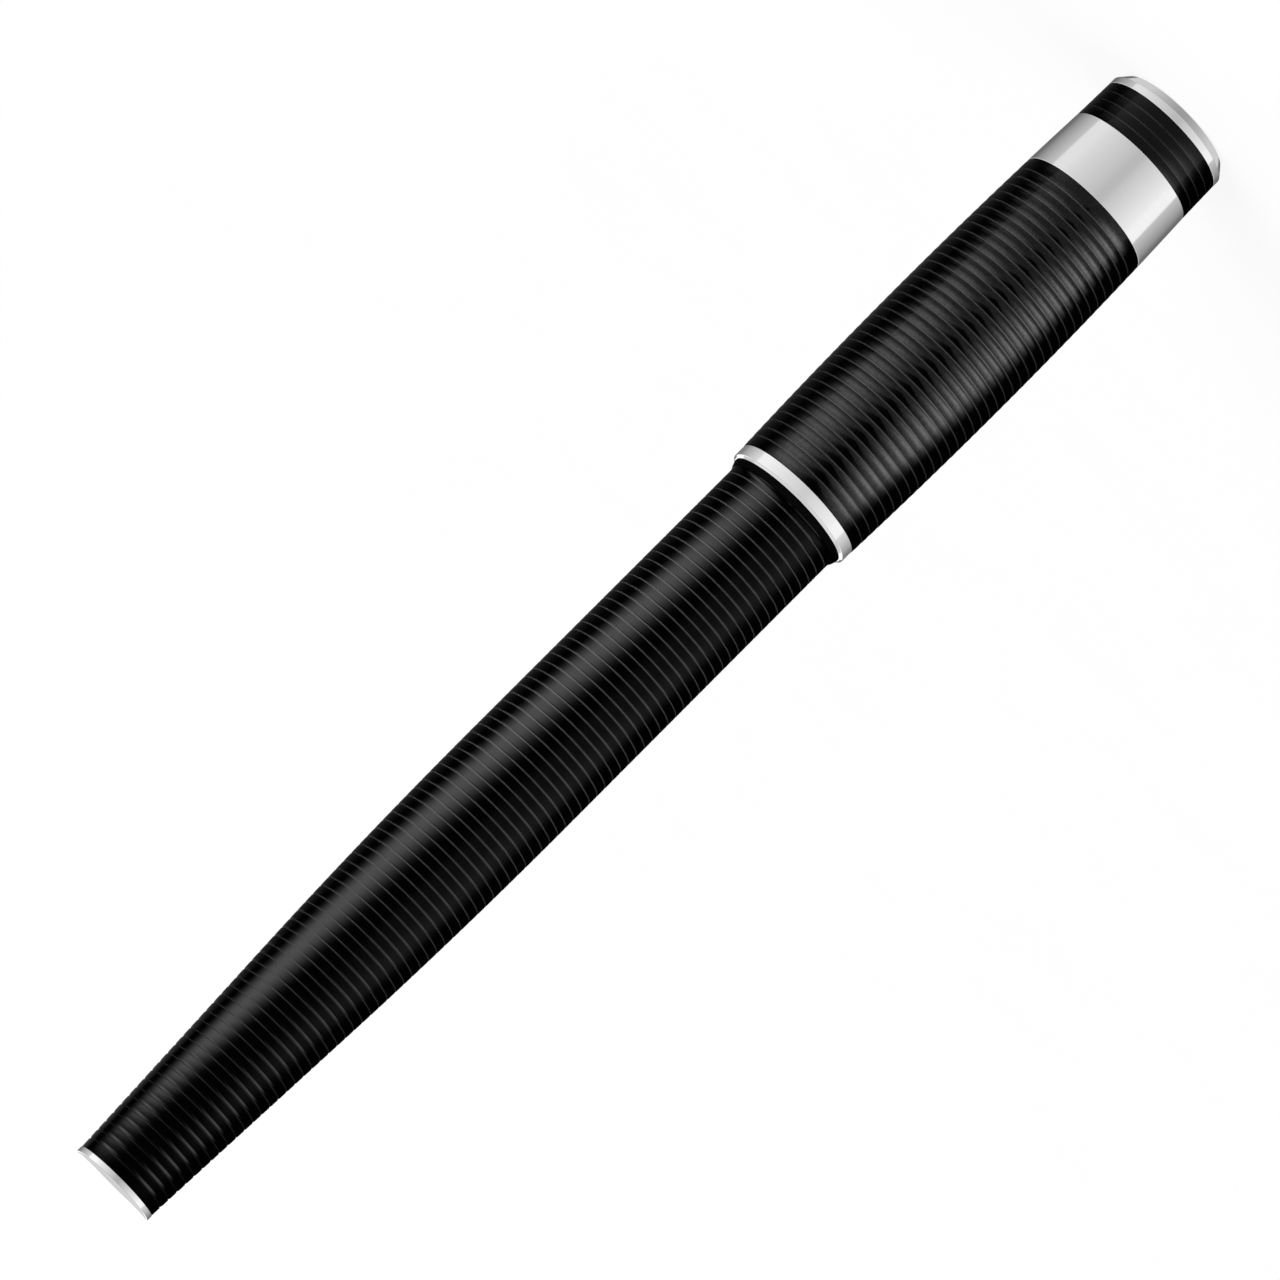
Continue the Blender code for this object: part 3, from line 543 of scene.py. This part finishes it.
def build_section():
    """Catch ring, grip, nose, threaded bush and sealing ring."""
    catch = [
        (CATCH_BORE, CATCH_HIGH), (CATCH_SHOULDER, CATCH_HIGH), (CATCH_RADIUS, CATCH_HIGH - CATCH_BEVEL),
        (CATCH_RADIUS, CATCH_LOW + CATCH_BEVEL), (CATCH_SHOULDER, CATCH_LOW), (CATCH_BORE, CATCH_LOW),
    ]
    dress(lathe("catch", rounded(catch, EDGE)), "catch_ring", "catch", "chrome")

    grip = [(GRIP_REAR, Z_GRIP_END), (GRIP_REAR, Z_CATCH_SEAT_END)]
    grip += [(CATCH_SEAT, Z_CATCH_SEAT_END), (CATCH_SEAT, Z_CATCH_SEAT)]
    for i in range(GRIP_STEPS + 1):
        z = Z_CATCH_SEAT + (Z_GRIP - Z_CATCH_SEAT) * i / GRIP_STEPS
        s = (z - Z_NOSE_BASE) / (CATCH_LOW - Z_NOSE_BASE)
        grip.append((GRIP_TIP + GRIP_RISE * s - GRIP_WAIST * math.sin(math.pi * s), z))
    grip += [
        (NOSE_SOCKET, Z_GRIP), (NOSE_SOCKET, Z_NOSE_SOCKET), (GRIP_BORE, Z_NOSE_SOCKET),
        (GRIP_BORE, Z_BUSH_SOCKET), (BUSH_SOCKET, Z_BUSH_SOCKET), (BUSH_SOCKET, Z_GRIP_END),
    ]
    dress(lathe("grip", rounded(grip, EDGE)), "grip_section", "section", "black_lacquer", "cap_lacquer")

    nose = [(NOSE_BORE, Z_NOSE_STEM), (NOSE_STEM, Z_NOSE_STEM), (NOSE_STEM, Z_NOSE_BASE)]
    for i in range(NOSE_STEPS + 1):
        z = Z_NOSE_BASE - NOSE_LENGTH * i / NOSE_STEPS
        nose.append((NOSE_TIP + NOSE_RISE * math.sin((z - Z_NOSE) / NOSE_LENGTH * math.pi / 2.0), z))
    nose += [(NOSE_HOLE, Z_NOSE), (NOSE_HOLE, Z_NOSE_SEAT), (NOSE_BORE, Z_NOSE_SEAT)]
    dress(lathe("nose", rounded(nose, EDGE)), "section_nose", "section", "chrome")

    bush = [(GRIP_BORE, Z_THREAD_END)] + wall(THREAD_RADIUS, Z_THREAD_END, Z_THREAD)
    bush += [
        (SEAL_SEAT, Z_THREAD), (SEAL_SEAT, Z_FLANGE_TOP), (BUSH_FLANGE, Z_FLANGE_TOP),
        (BUSH_FLANGE, Z_FLANGE), (BUSH_STEM, Z_FLANGE), (BUSH_STEM, Z_BUSH), (GRIP_BORE, Z_BUSH),
    ]
    cut = helix_cut(THREAD_RADIUS, Z_THREAD, Z_THREAD_END, -1.0)
    dress(lathe("thread_bush", bush, cut), "section_bush", "section", "brass")

    seal = []
    for i in range(SEAL_STEPS):
        angle = 2.0 * math.pi * i / SEAL_STEPS
        seal.append((SEAL_RADIUS + SEAL_WIRE * math.cos(angle), Z_SEAL + SEAL_WIRE * math.sin(angle)))
    dress(lathe("seal", seal), "section_o_ring", "section", "rubber")


def refill_piece(name, profile, edge, node, material, segments=INNER_SEGMENTS):
    """One turned piece of the refill."""
    dress(lathe(name, rounded(profile, edge), segments=segments), node, "refill", material)


def build_refill():
    """Point, holder, ink tube, feed, fibre, end plug and ball."""
    point = [(FEED_BORE, Z_POINT_TOP), (POINT_RADIUS, Z_POINT_TOP)] + POINT_CONE + POINT_SOCKET
    refill_piece("point", point, FINE_EDGE, "refill_point", "nickel")

    holder = [
        (FEED_BORE, Z_HOLDER_TOP), (CORE_RADIUS, Z_HOLDER_TOP), (CORE_RADIUS, Z_HOLDER_STEP),
        (REFILL_RADIUS, Z_HOLDER_STEP), (REFILL_RADIUS, Z_HOLDER_FLANGE), (HOLDER_TIP, Z_HOLDER_FLANGE),
        (HOLDER_TIP, Z_HOLDER), (HOLDER_HOLE, Z_HOLDER), (HOLDER_HOLE, Z_POINT_SEAT),
        (FEED_BORE, Z_POINT_SEAT),
    ]
    refill_piece("holder", holder, EDGE, "refill_holder", "white_plastic")

    tube = sleeve(REFILL_BORE, REFILL_RADIUS, Z_INK_TUBE, Z_INK_TUBE_END)
    refill_piece("ink_tube", tube, EDGE, "refill_tube", "steel")

    feed = sleeve(0.0, FEED_RADIUS, Z_FEED, Z_HOLDER_TOP)
    refill_piece("feed", feed, FINE_EDGE, "refill_feed", "white_plastic", FEED_SEGMENTS)

    fibre = sleeve(0.0, CORE_RADIUS, Z_FIBRE, Z_FIBRE_END)
    refill_piece("fibre", fibre, FIBRE_EDGE, "ink_reservoir", "ink_fibre")

    plug = [
        (VENT_RADIUS, Z_PLUG_END), (REFILL_RADIUS, Z_PLUG_END), (REFILL_RADIUS, Z_PLUG_STEP),
        (CORE_RADIUS, Z_PLUG_STEP), (CORE_RADIUS, Z_PLUG), (VENT_RADIUS, Z_PLUG),
    ]
    refill_piece("end_plug", plug, EDGE, "refill_end_plug", "black_plastic")

    ball = []
    for i in range(BALL_STEPS + 1):
        angle = math.pi * i / BALL_STEPS
        ball.append((BALL_RADIUS * math.sin(angle), Z_BALL - BALL_RADIUS * math.cos(angle)))
    ball[0], ball[-1] = (0.0, ball[0][1]), (0.0, ball[-1][1])
    dress(lathe("ball", ball, segments=BALL_SEGMENTS), "refill_ball", "ball", "steel")


def coil(name, start, end):
    """Part of the coil spring's wire between two turns, closed at both ends."""
    verts, faces = [], []
    count = int((end - start) * COIL_STEPS) + 1
    for i in range(count):
        turn = start + i / COIL_STEPS
        angle = 2.0 * math.pi * turn
        z = COIL_LOW + (COIL_HIGH - COIL_LOW) * turn / COIL_TURNS
        for k in range(WIRE_SIDES):
            side = 2.0 * math.pi * k / WIRE_SIDES
            r = COIL_RADIUS + WIRE_RADIUS * math.cos(side)
            verts.append((r * math.cos(angle), r * math.sin(angle), z + WIRE_RADIUS * math.sin(side)))
    for i in range(count - 1):
        for k in range(WIRE_SIDES):
            a, b = i * WIRE_SIDES + k, i * WIRE_SIDES + (k + 1) % WIRE_SIDES
            faces.append([a, a + WIRE_SIDES, b + WIRE_SIDES, b])
    faces.append(list(range(WIRE_SIDES)))
    faces.append(list(range((count - 1) * WIRE_SIDES, count * WIRE_SIDES))[::-1])
    return dress(mesh_piece(name, verts, faces), "refill_spring", None, "steel")


def build_spring():
    """Coil spring, split at its middle turn into two halves, and the seat that centres it."""
    front = coil("spring_front", 0.0, COIL_TURNS / 2.0)
    back = coil("spring", COIL_TURNS / 2.0, COIL_TURNS)
    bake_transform(front)
    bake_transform(back)

    seat = [
        (0.0, Z_SEAT_END), (SEAT_FLANGE, Z_SEAT_END), (SEAT_FLANGE, Z_SEAT_FLANGE),
        (SEAT_STEM, Z_SEAT_FLANGE), (SEAT_STEM, Z_SEAT), (0.0, Z_SEAT),
    ]
    dress(lathe("seat", rounded(seat, EDGE), segments=INNER_SEGMENTS), "spring_seat", "spring", "brass")


def build_barrel():
    """Ring-grooved barrel with its thread bush, tail plug and tail cap."""
    low = Z_BARREL + BARREL_FLARE_LENGTH
    tube = ribbed(
        barrel_outline, Z_TAIL, low, BARREL_GROOVES, BARREL_PITCH, BARREL_SWELL, tail_bevel, BARREL_POINTS
    )
    tube += [
        (BARREL_RADIUS + BARREL_FLARE, Z_BARREL), (BARREL_FRONT_BORE, Z_BARREL),
        (BARREL_FRONT_BORE, Z_FRONT_BORE), (BARREL_MAIN_BORE, Z_FRONT_BORE), (BARREL_MAIN_BORE, Z_TAPER),
        (TAIL_BORE, Z_CONE), (TAIL_BORE, Z_TAIL),
    ]
    dress(lathe("barrel", tube), "barrel_tube", "barrel", "black_lacquer", "barrel_lacquer")

    bush = wall(BUSH_BORE, Z_BUSH_END, Z_BUSH_RECESS)
    bush += [
        (BUSH_RECESS, Z_BUSH_RECESS), (BUSH_RECESS, Z_BARREL),
        (BUSH_RADIUS, Z_BARREL), (BUSH_RADIUS, Z_BUSH_END),
    ]
    cut = helix_cut(BUSH_BORE, Z_BUSH_RECESS, Z_BUSH_END, 1.0)
    dress(lathe("barrel_thread", bush, cut), "barrel_bush", "barrel", "brass")

    plug = [
        (0.0, Z_STEM_HOLE), (STEM_HOLE, Z_STEM_HOLE), (STEM_HOLE, Z_TAIL), (PLUG_RADIUS, Z_TAIL),
        (PLUG_RADIUS, Z_TAIL_PLUG), (0.0, Z_TAIL_PLUG),
    ]
    insert = lathe("tail_insert", rounded(plug, EDGE), segments=INNER_SEGMENTS)
    dress(insert, "tail_plug", "barrel", "brass")

    tail = TAIL_RADIUS + TAIL_PROUD
    rim = Z_END - TAIL_DOME
    foot = Z_TAIL + SEAT
    cap = []
    for i in range(DOME_STEPS):
        share = i / DOME_STEPS
        cap.append(((tail - TAIL_EDGE) * share, Z_END - TAIL_DOME * share ** 2))
    for i in range(TAIL_EDGE_STEPS + 1):
        turn = math.pi / 2.0 * i / TAIL_EDGE_STEPS
        cap.append((tail - TAIL_EDGE * (1.0 - math.sin(turn)), rim - TAIL_EDGE * (1.0 - math.cos(turn))))
    cap += [(tail, rim - TAIL_EDGE * FLAT_FROM), (tail, foot + TAIL_FOOT), (tail, foot)]
    cap += [(STEM_RADIUS, foot), (STEM_RADIUS, Z_STEM), (0.0, Z_STEM)]
    dress(lathe("tail_ring", cap), "tail_cap", "barrel", "chrome")


# Studio: floor, reflecting walls, lamps and camera
FLOOR_SIZE = 6.0
FLOOR_WHITE = 0.8
FLOOR_NEAR, FLOOR_FAR = (0.1, 1.015), (1.5, 1.14)
CAP_WALL_RADIUS, BARREL_WALL_RADIUS, METAL_WALL_RADIUS = 0.4, 0.405, 0.41
WALL_LOW, WALL_HIGH = -0.25, 0.5
FRONT_HEIGHT = -0.24
WALL_STEPS = 72
WORLD_LEVEL, WORLD_MIRRORED = 0.8, 0.002
FRONT_NEAR, FRONT_FAR = 0.95, 1.1
FRONT_REACH = 2.6
FRONT_FLARE = 1.5
FRONT_LEVEL = 0.28
FRONT_ANGLE = math.radians(80)
METAL_FLOOR = (0.02, 0.36), (0.17, 0.65)
METAL_CEILING = (0.03, 0.66), (0.3, 0.82)
FLOOR_ROUGHNESS, FLOOR_GRAIN = 0.9, 40.0
FLOOR_DARK, FLOOR_LIGHT = (0.79, 0.79, 0.79), (0.81, 0.81, 0.81)

# Light round the walls, as (degrees away from the camera's side, share of full level)
STRIP_STEP, STRIP_END = 10, 110


def bell(start, peak, end, height=1.0):
    """A soft strip of light: nothing at its start and end, full height at its peak."""
    stops = []
    for angle in range(0, STRIP_END + 1, STRIP_STEP):
        width = peak - start if angle < peak else end - peak
        away = min(1.0, abs(angle - peak) / width)
        stops.append((angle, height * math.cos(away * math.pi / 2.0) ** 3))
    return stops


def straight(first, last, steps):
    """Stops along a straight line from one (angle, level) to another."""
    return [tuple(a + (b - a) * i / steps for a, b in zip(first, last)) for i in range(steps + 1)]


CAP_STRIP = bell(0, 60, 104)
CAP_LEFT = bell(0, 60, 109)
COLLAR_LEFT = bell(18, 79, 124, 0.57)
BARREL_STRIP = bell(8, 60, 103)
GLOW_MAIN, GLOW_SHOULDER = bell(22, 72, 112), bell(-6, 28, 70, 0.4)
BARREL_GLOW = [(a, p + q) for (a, p), (_, q) in zip(GLOW_MAIN, GLOW_SHOULDER)]
RIM = straight((118, 0.3), (180, 1.5), 3)
METAL_RISE = straight((0, 0.0), (78, 1.0), 6) + [(91, 1.0)]
METAL_BACK = straight((96, 0.58), (150, 0.17), 6) + [(180, 0.15)]


def strips(profile, left, other, right, rim):
    """Stops round a wall: a soft strip towards +X, another towards -X and a faint rim behind the first."""
    stops = [(-180, 0.0)] + [(-a, right * p) for a, p in other[:0:-1]]
    return stops + [(a, left * p) for a, p in profile] + [(a, rim * p) for a, p in RIM]


def hollow(centre, left, right, back):
    """Stops round a wall that is dimmest in front, bright at both sides and dim behind."""
    stops = [(a, centre + (left - centre) * p) for a, p in METAL_RISE]
    stops += [(a, back * p) for a, p in METAL_BACK]
    other = [(-a, centre + (right - centre) * p) for a, p in METAL_RISE[1:]]
    other += [(-a, back * p) for a, p in METAL_BACK]
    return other[::-1] + stops


def even(level):
    """Stops round a wall of one level."""
    return [(-180, level), (180, level)]


# Zones of each wall, upwards: the heights over which each takes over from the one below
CAP_ZONES = (
    ((0.0, 0.0), strips(COLLAR_LEFT, 0.5, CAP_STRIP, 0.28, 0.07)),
    ((-0.118, -0.1), strips(CAP_LEFT, 0.05, CAP_STRIP, 1.3, 0.07)),
    ((-0.1, -0.085), strips(CAP_LEFT, 0.2, CAP_STRIP, 3.7, 0.07)),
    ((-0.085, -0.025), strips(CAP_LEFT, 1.5, CAP_STRIP, 0.8, 0.07)),
    ((0.06, 0.1), strips(CAP_LEFT, 0.02, CAP_STRIP, 0.02, 0.02)),
)
BARREL_ZONES = (
    ((0.0, 0.0), strips(BARREL_STRIP, 0.9, BARREL_GLOW, 0.22, 0.03)),
    ((-0.045, -0.02), strips(BARREL_STRIP, 1.67, BARREL_GLOW, 0.2, 0.06)),
    ((0.07, 0.1), strips(BARREL_STRIP, 1.67, BARREL_STRIP, 0.13, 0.2)),
    ((0.106, 0.12), strips(BARREL_STRIP, 0.12, BARREL_STRIP, 0.03, 0.2)),
    ((0.165, 0.185), strips(BARREL_STRIP, 1.75, BARREL_GLOW, 1.2, 0.2)),
    ((0.3, 0.38), strips(BARREL_STRIP, 0.65, BARREL_STRIP, 1.15, 0.2)),
)
END_LIGHT = ((-180, 1.15), (-125, 1.15), (-100, 0.7), (0, 0.5), (100, 0.7), (125, 1.15), (180, 1.15))
METAL_ZONES = (
    ((0.0, 0.0), hollow(0.53, 0.82, 0.98, 1.0)),
    ((-0.08, -0.05), hollow(0.67, 0.97, 1.0, 1.3)),
    ((0.0, 0.06), hollow(0.46, 1.08, 1.02, 1.2)),
    ((0.107, 0.113), END_LIGHT),
    ((0.233, 0.239), even(0.62)),
    ((0.38, 0.42), even(0.82)),
)
BARREL_LEAN, LEAN_TOP = 115.0, 0.14
CAP_OFFSET = 3.0


def math_node(tree, operation, *values):
    """One arithmetic step between sockets or numbers."""
    node = tree.nodes.new("ShaderNodeMath")
    node.operation = operation
    for socket, value in zip(node.inputs, values):
        if isinstance(value, (int, float)):
            socket.default_value = value
        else:
            tree.links.new(value, socket)
    return node.outputs["Value"]


def curve_of(tree, source, stops):
    """A smooth curve through (input, output) stops, for an input in degrees of turn."""
    node = tree.nodes.new("ShaderNodeFloatCurve")
    points = node.mapping.curves[0].points
    top = max(value for _, value in stops)
    for i, (angle, value) in enumerate(stops):
        at = (angle / 360.0 + 0.5, value / top)
        if i == 0:
            points[0].location = at
        elif i == len(stops) - 1:
            points[-1].location = at
        else:
            points.new(*at)
    for point in points:
        point.handle_type = "AUTO_CLAMPED"
    node.mapping.update()
    tree.links.new(source, node.inputs["Value"])
    return math_node(tree, "MULTIPLY", node.outputs["Value"], top)


def share_between(tree, source, start, end):
    """0 below start, 1 above end and a straight rise between them."""
    span = tree.nodes.new("ShaderNodeMapRange")
    span.inputs["From Min"].default_value = start
    span.inputs["From Max"].default_value = end
    tree.links.new(source, span.inputs["Value"])
    return span.outputs["Result"]


def blend_of(tree, first, second, share):
    """first where share is 0, second where it is 1."""
    change = math_node(tree, "MULTIPLY", math_node(tree, "SUBTRACT", second, first), share)
    return math_node(tree, "ADD", first, change)


def glowing(name):
    """A new material that gives light and lets everything through: its tree, place and level."""
    material = bpy.data.materials.new(name)
    material.use_nodes = True
    tree = material.node_tree
    tree.nodes.clear()
    place = tree.nodes.new("ShaderNodeTexCoord")
    axes = tree.nodes.new("ShaderNodeSeparateXYZ")
    tree.links.new(place.outputs["Object"], axes.inputs["Vector"])
    glow = tree.nodes.new("ShaderNodeEmission")
    clear = tree.nodes.new("ShaderNodeBsdfTransparent")
    both = tree.nodes.new("ShaderNodeAddShader")
    output = tree.nodes.new("ShaderNodeOutputMaterial")
    tree.links.new(glow.outputs["Emission"], both.inputs[0])
    tree.links.new(clear.outputs["BSDF"], both.inputs[1])
    tree.links.new(both.outputs["Shader"], output.inputs["Surface"])
    return material, tree, axes, glow.inputs["Strength"]


def wall_material(name, zones, lean=0.0, offset=0.0):
    """Light that varies round the wall and from zone to zone up it; lean turns it with height."""
    material, tree, axes, strength = glowing(name)
    front = math_node(tree, "MULTIPLY", axes.outputs["Y"], -1.0)
    turn = math_node(tree, "ARCTAN2", axes.outputs["X"], front)
    rise = math_node(tree, "MINIMUM", axes.outputs["Z"], LEAN_TOP)
    rise = math_node(tree, "MULTIPLY", rise, math_node(tree, "GREATER_THAN", turn, 0.0))
    shift = math_node(tree, "MULTIPLY_ADD", rise, -lean / 360.0, 0.5 + offset / 360.0)
    turn = math_node(tree, "ADD", math_node(tree, "DIVIDE", turn, 2.0 * math.pi), shift)
    level = curve_of(tree, turn, zones[0][1])
    for (start, end), stops in zones[1:]:
        share = share_between(tree, axes.outputs["Z"], start, end)
        level = blend_of(tree, level, curve_of(tree, turn, stops), share)
    tree.links.new(level, strength)
    return material


def disc_material(name, near, far, flare=0.0):
    """Light that changes evenly from one (radius, level) to another, reaching further out at both sides."""
    material, tree, axes, strength = glowing(name)
    square = math_node(tree, "MULTIPLY", axes.outputs["X"], axes.outputs["X"])
    square = math_node(tree, "MULTIPLY_ADD", axes.outputs["Y"], axes.outputs["Y"], square)
    aside = math_node(tree, "ABSOLUTE", axes.outputs["X"])
    reach = math_node(tree, "MULTIPLY_ADD", aside, -flare, math_node(tree, "SQRT", square))
    share = share_between(tree, reach, near[0], far[0])
    tree.links.new(blend_of(tree, near[1], far[1], share), strength)
    return material


def card(name, verts, faces, material, receivers):
    """A glowing surface that only the given pieces mirror."""
    mesh = bpy.data.meshes.new(name)
    mesh.from_pydata(verts, [], faces)
    mesh.materials.append(material)
    piece = bpy.data.objects.new(name, mesh)
    bpy.context.scene.collection.objects.link(piece)
    piece.visible_camera = False
    piece.visible_diffuse = False
    piece.visible_shadow = False
    piece.visible_transmission = False
    piece.visible_volume_scatter = False
    piece.light_linking.receiver_collection = receivers


def ring_points(radius, z, start=-math.pi, end=math.pi):
    """Points round the axis at one height, from the start to just before the end, 0 in front."""
    points = []
    for k in range(WALL_STEPS):
        angle = start + (end - start) * k / WALL_STEPS
        points.append((radius * math.sin(angle), -radius * math.cos(angle), z))
    return points


def round_wall(name, radius, material, receivers):
    """A glowing wall all round the pen."""
    verts = ring_points(radius, WALL_LOW) + ring_points(radius, WALL_HIGH)
    faces = []
    for k in range(WALL_STEPS):
        n = (k + 1) % WALL_STEPS
        faces.append([k, n, n + WALL_STEPS, k + WALL_STEPS])
    card(name, verts, faces, material, receivers)


def build_cards():
    """Walls for lacquer and metal, a pale front for the cap, and the metal's floor and ceiling."""
    glow = wall_material("cap_wall", CAP_ZONES, offset=CAP_OFFSET)
    round_wall("cap_wall", CAP_WALL_RADIUS, glow, CAP_SIDE)
    glow = wall_material("barrel_wall", BARREL_ZONES, lean=BARREL_LEAN)
    round_wall("barrel_wall", BARREL_WALL_RADIUS, glow, BARREL_SIDE)
    glow = wall_material("metal_wall", METAL_ZONES)
    round_wall("metal_wall", METAL_WALL_RADIUS, glow, METAL_SIDE)
    front = ring_points(FRONT_REACH, FRONT_HEIGHT, -FRONT_ANGLE, FRONT_ANGLE) + [(0.0, 0.0, FRONT_HEIGHT)]
    glow = disc_material("cap_front", (FRONT_NEAR, FRONT_LEVEL), (FRONT_FAR, 0.0), FRONT_FLARE)
    card("cap_front", front, [list(range(len(front)))], glow, CAP_SIDE)
    disc = [list(range(WALL_STEPS))]
    glow = disc_material("metal_floor", *METAL_FLOOR)
    card("metal_floor", ring_points(METAL_WALL_RADIUS, WALL_LOW), disc, glow, METAL_SIDE)
    glow = disc_material("metal_ceiling", *METAL_CEILING)
    card("metal_ceiling", ring_points(METAL_WALL_RADIUS, WALL_HIGH), disc, glow, METAL_SIDE)


def build_floor():
    """Pale floor that the camera sees as white, with a soft shadow kept on it."""
    half = FLOOR_SIZE / 2.0
    mesh = bpy.data.meshes.new("floor")
    corners = [(-half, -half, 0.0), (half, -half, 0.0), (half, half, 0.0), (-half, half, 0.0)]
    mesh.from_pydata(corners, [], [[0, 1, 2, 3]])
    floor = bpy.data.objects.new("floor", mesh)
    bpy.context.scene.collection.objects.link(floor)
    floor.visible_glossy = False
    material, tree, shader = nodes_of("pale_floor")
    shader.inputs["Roughness"].default_value = FLOOR_ROUGHNESS
    tint(tree, noise(tree, FLOOR_GRAIN), FLOOR_DARK, FLOOR_LIGHT, shader.inputs["Base Color"])
    path = tree.nodes.new("ShaderNodeLightPath")
    glow = tree.nodes.new("ShaderNodeEmission")
    mix = tree.nodes.new("ShaderNodeMixShader")
    share = math_node(tree, "MULTIPLY", path.outputs["Is Camera Ray"], FLOOR_WHITE)
    tree.links.new(share, mix.inputs["Fac"])
    tree.links.new(shader.outputs["BSDF"], mix.inputs[1])
    tree.links.new(glow.outputs["Emission"], mix.inputs[2])
    place = tree.nodes.new("ShaderNodeTexCoord")
    reach = tree.nodes.new("ShaderNodeVectorMath")
    reach.operation = "LENGTH"
    tree.links.new(place.outputs["Object"], reach.inputs[0])
    away = share_between(tree, reach.outputs["Value"], FLOOR_NEAR[0], FLOOR_FAR[0])
    tree.links.new(blend_of(tree, FLOOR_NEAR[1], FLOOR_FAR[1], away), glow.inputs["Strength"])
    tree.links.new(mix.outputs["Shader"], tree.nodes["Material Output"].inputs["Surface"])
    mesh.materials.append(material)


def build_world():
    """Soft even light, white to the camera and hardly shown by mirrors."""
    world = bpy.data.worlds.new("studio")
    bpy.context.scene.world = world
    world.use_nodes = True
    tree = world.node_tree
    path = tree.nodes.new("ShaderNodeLightPath")
    change = WORLD_MIRRORED - WORLD_LEVEL
    level = math_node(tree, "MULTIPLY_ADD", path.outputs["Is Glossy Ray"], change, WORLD_LEVEL)
    level = math_node(tree, "MAXIMUM", level, path.outputs["Is Camera Ray"])
    tree.links.new(level, tree.nodes["Background"].inputs["Strength"])
    tree.nodes["Background"].inputs["Color"].default_value = (1.0, 1.0, 1.0, 1.0)


def area_lamp(name, place, target, size, power):
    """A soft square lamp that mirrors don't show."""
    data = bpy.data.lights.new(name, "AREA")
    data.shape = "SQUARE"
    data.size = size
    data.energy = power
    lamp = bpy.data.objects.new(name, data)
    bpy.context.scene.collection.objects.link(lamp)
    lamp.location = place
    lamp.rotation_euler = (Vector(target) - Vector(place)).to_track_quat("-Z", "Y").to_euler()
    lamp.visible_camera = False
    lamp.visible_glossy = False


LAMP_TARGET, LAMP_SIZE = (0.0, 0.0, 0.07), 0.7
KEY_PLACE, KEY_POWER = (0.6, -0.5, 0.9), 6.0
FILL_PLACE, FILL_POWER = (-0.7, -0.4, 0.6), 3.0

# Camera, as measured on the photograph
CAMERA_DISTANCE = 0.8113
CAMERA_ELEVATION = math.radians(10.98)
CAMERA_ROLL = math.radians(-135.04)
CAMERA_AIM = 0.0699
LENS = 250.4
SENSOR_WIDTH, CLIP_START = 36.0, 0.05
FRAME_SIZE = 1280.0
AIM_AT = (649.3, 647.7)


def build_camera():
    """The photograph's viewpoint, rolled so that the pen lies across the frame."""
    data = bpy.data.cameras.new("camera")
    data.lens = LENS
    data.sensor_width = SENSOR_WIDTH
    data.clip_start = CLIP_START
    data.shift_x = (FRAME_SIZE / 2.0 - AIM_AT[0]) / FRAME_SIZE
    data.shift_y = (AIM_AT[1] - FRAME_SIZE / 2.0) / FRAME_SIZE
    camera = bpy.data.objects.new("camera", data)
    bpy.context.scene.collection.objects.link(camera)
    back = Vector((0.0, -math.cos(CAMERA_ELEVATION), math.sin(CAMERA_ELEVATION)))
    look = (-back).to_track_quat("-Z", "Y").to_matrix().to_4x4()
    place = Matrix.Translation(Vector((0.0, 0.0, CAMERA_AIM)) + back * CAMERA_DISTANCE)
    camera.matrix_world = place @ look @ Matrix.Rotation(CAMERA_ROLL, 4, "Z")
    bpy.context.scene.camera = camera


build_cap()
build_section()
build_refill()
build_spring()
build_barrel()
build_floor()
build_world()
build_cards()
area_lamp("key", KEY_PLACE, LAMP_TARGET, LAMP_SIZE, KEY_POWER)
area_lamp("fill", FILL_PLACE, LAMP_TARGET, LAMP_SIZE, FILL_POWER)
build_camera()
bpy.context.scene.view_settings.view_transform = "Standard"
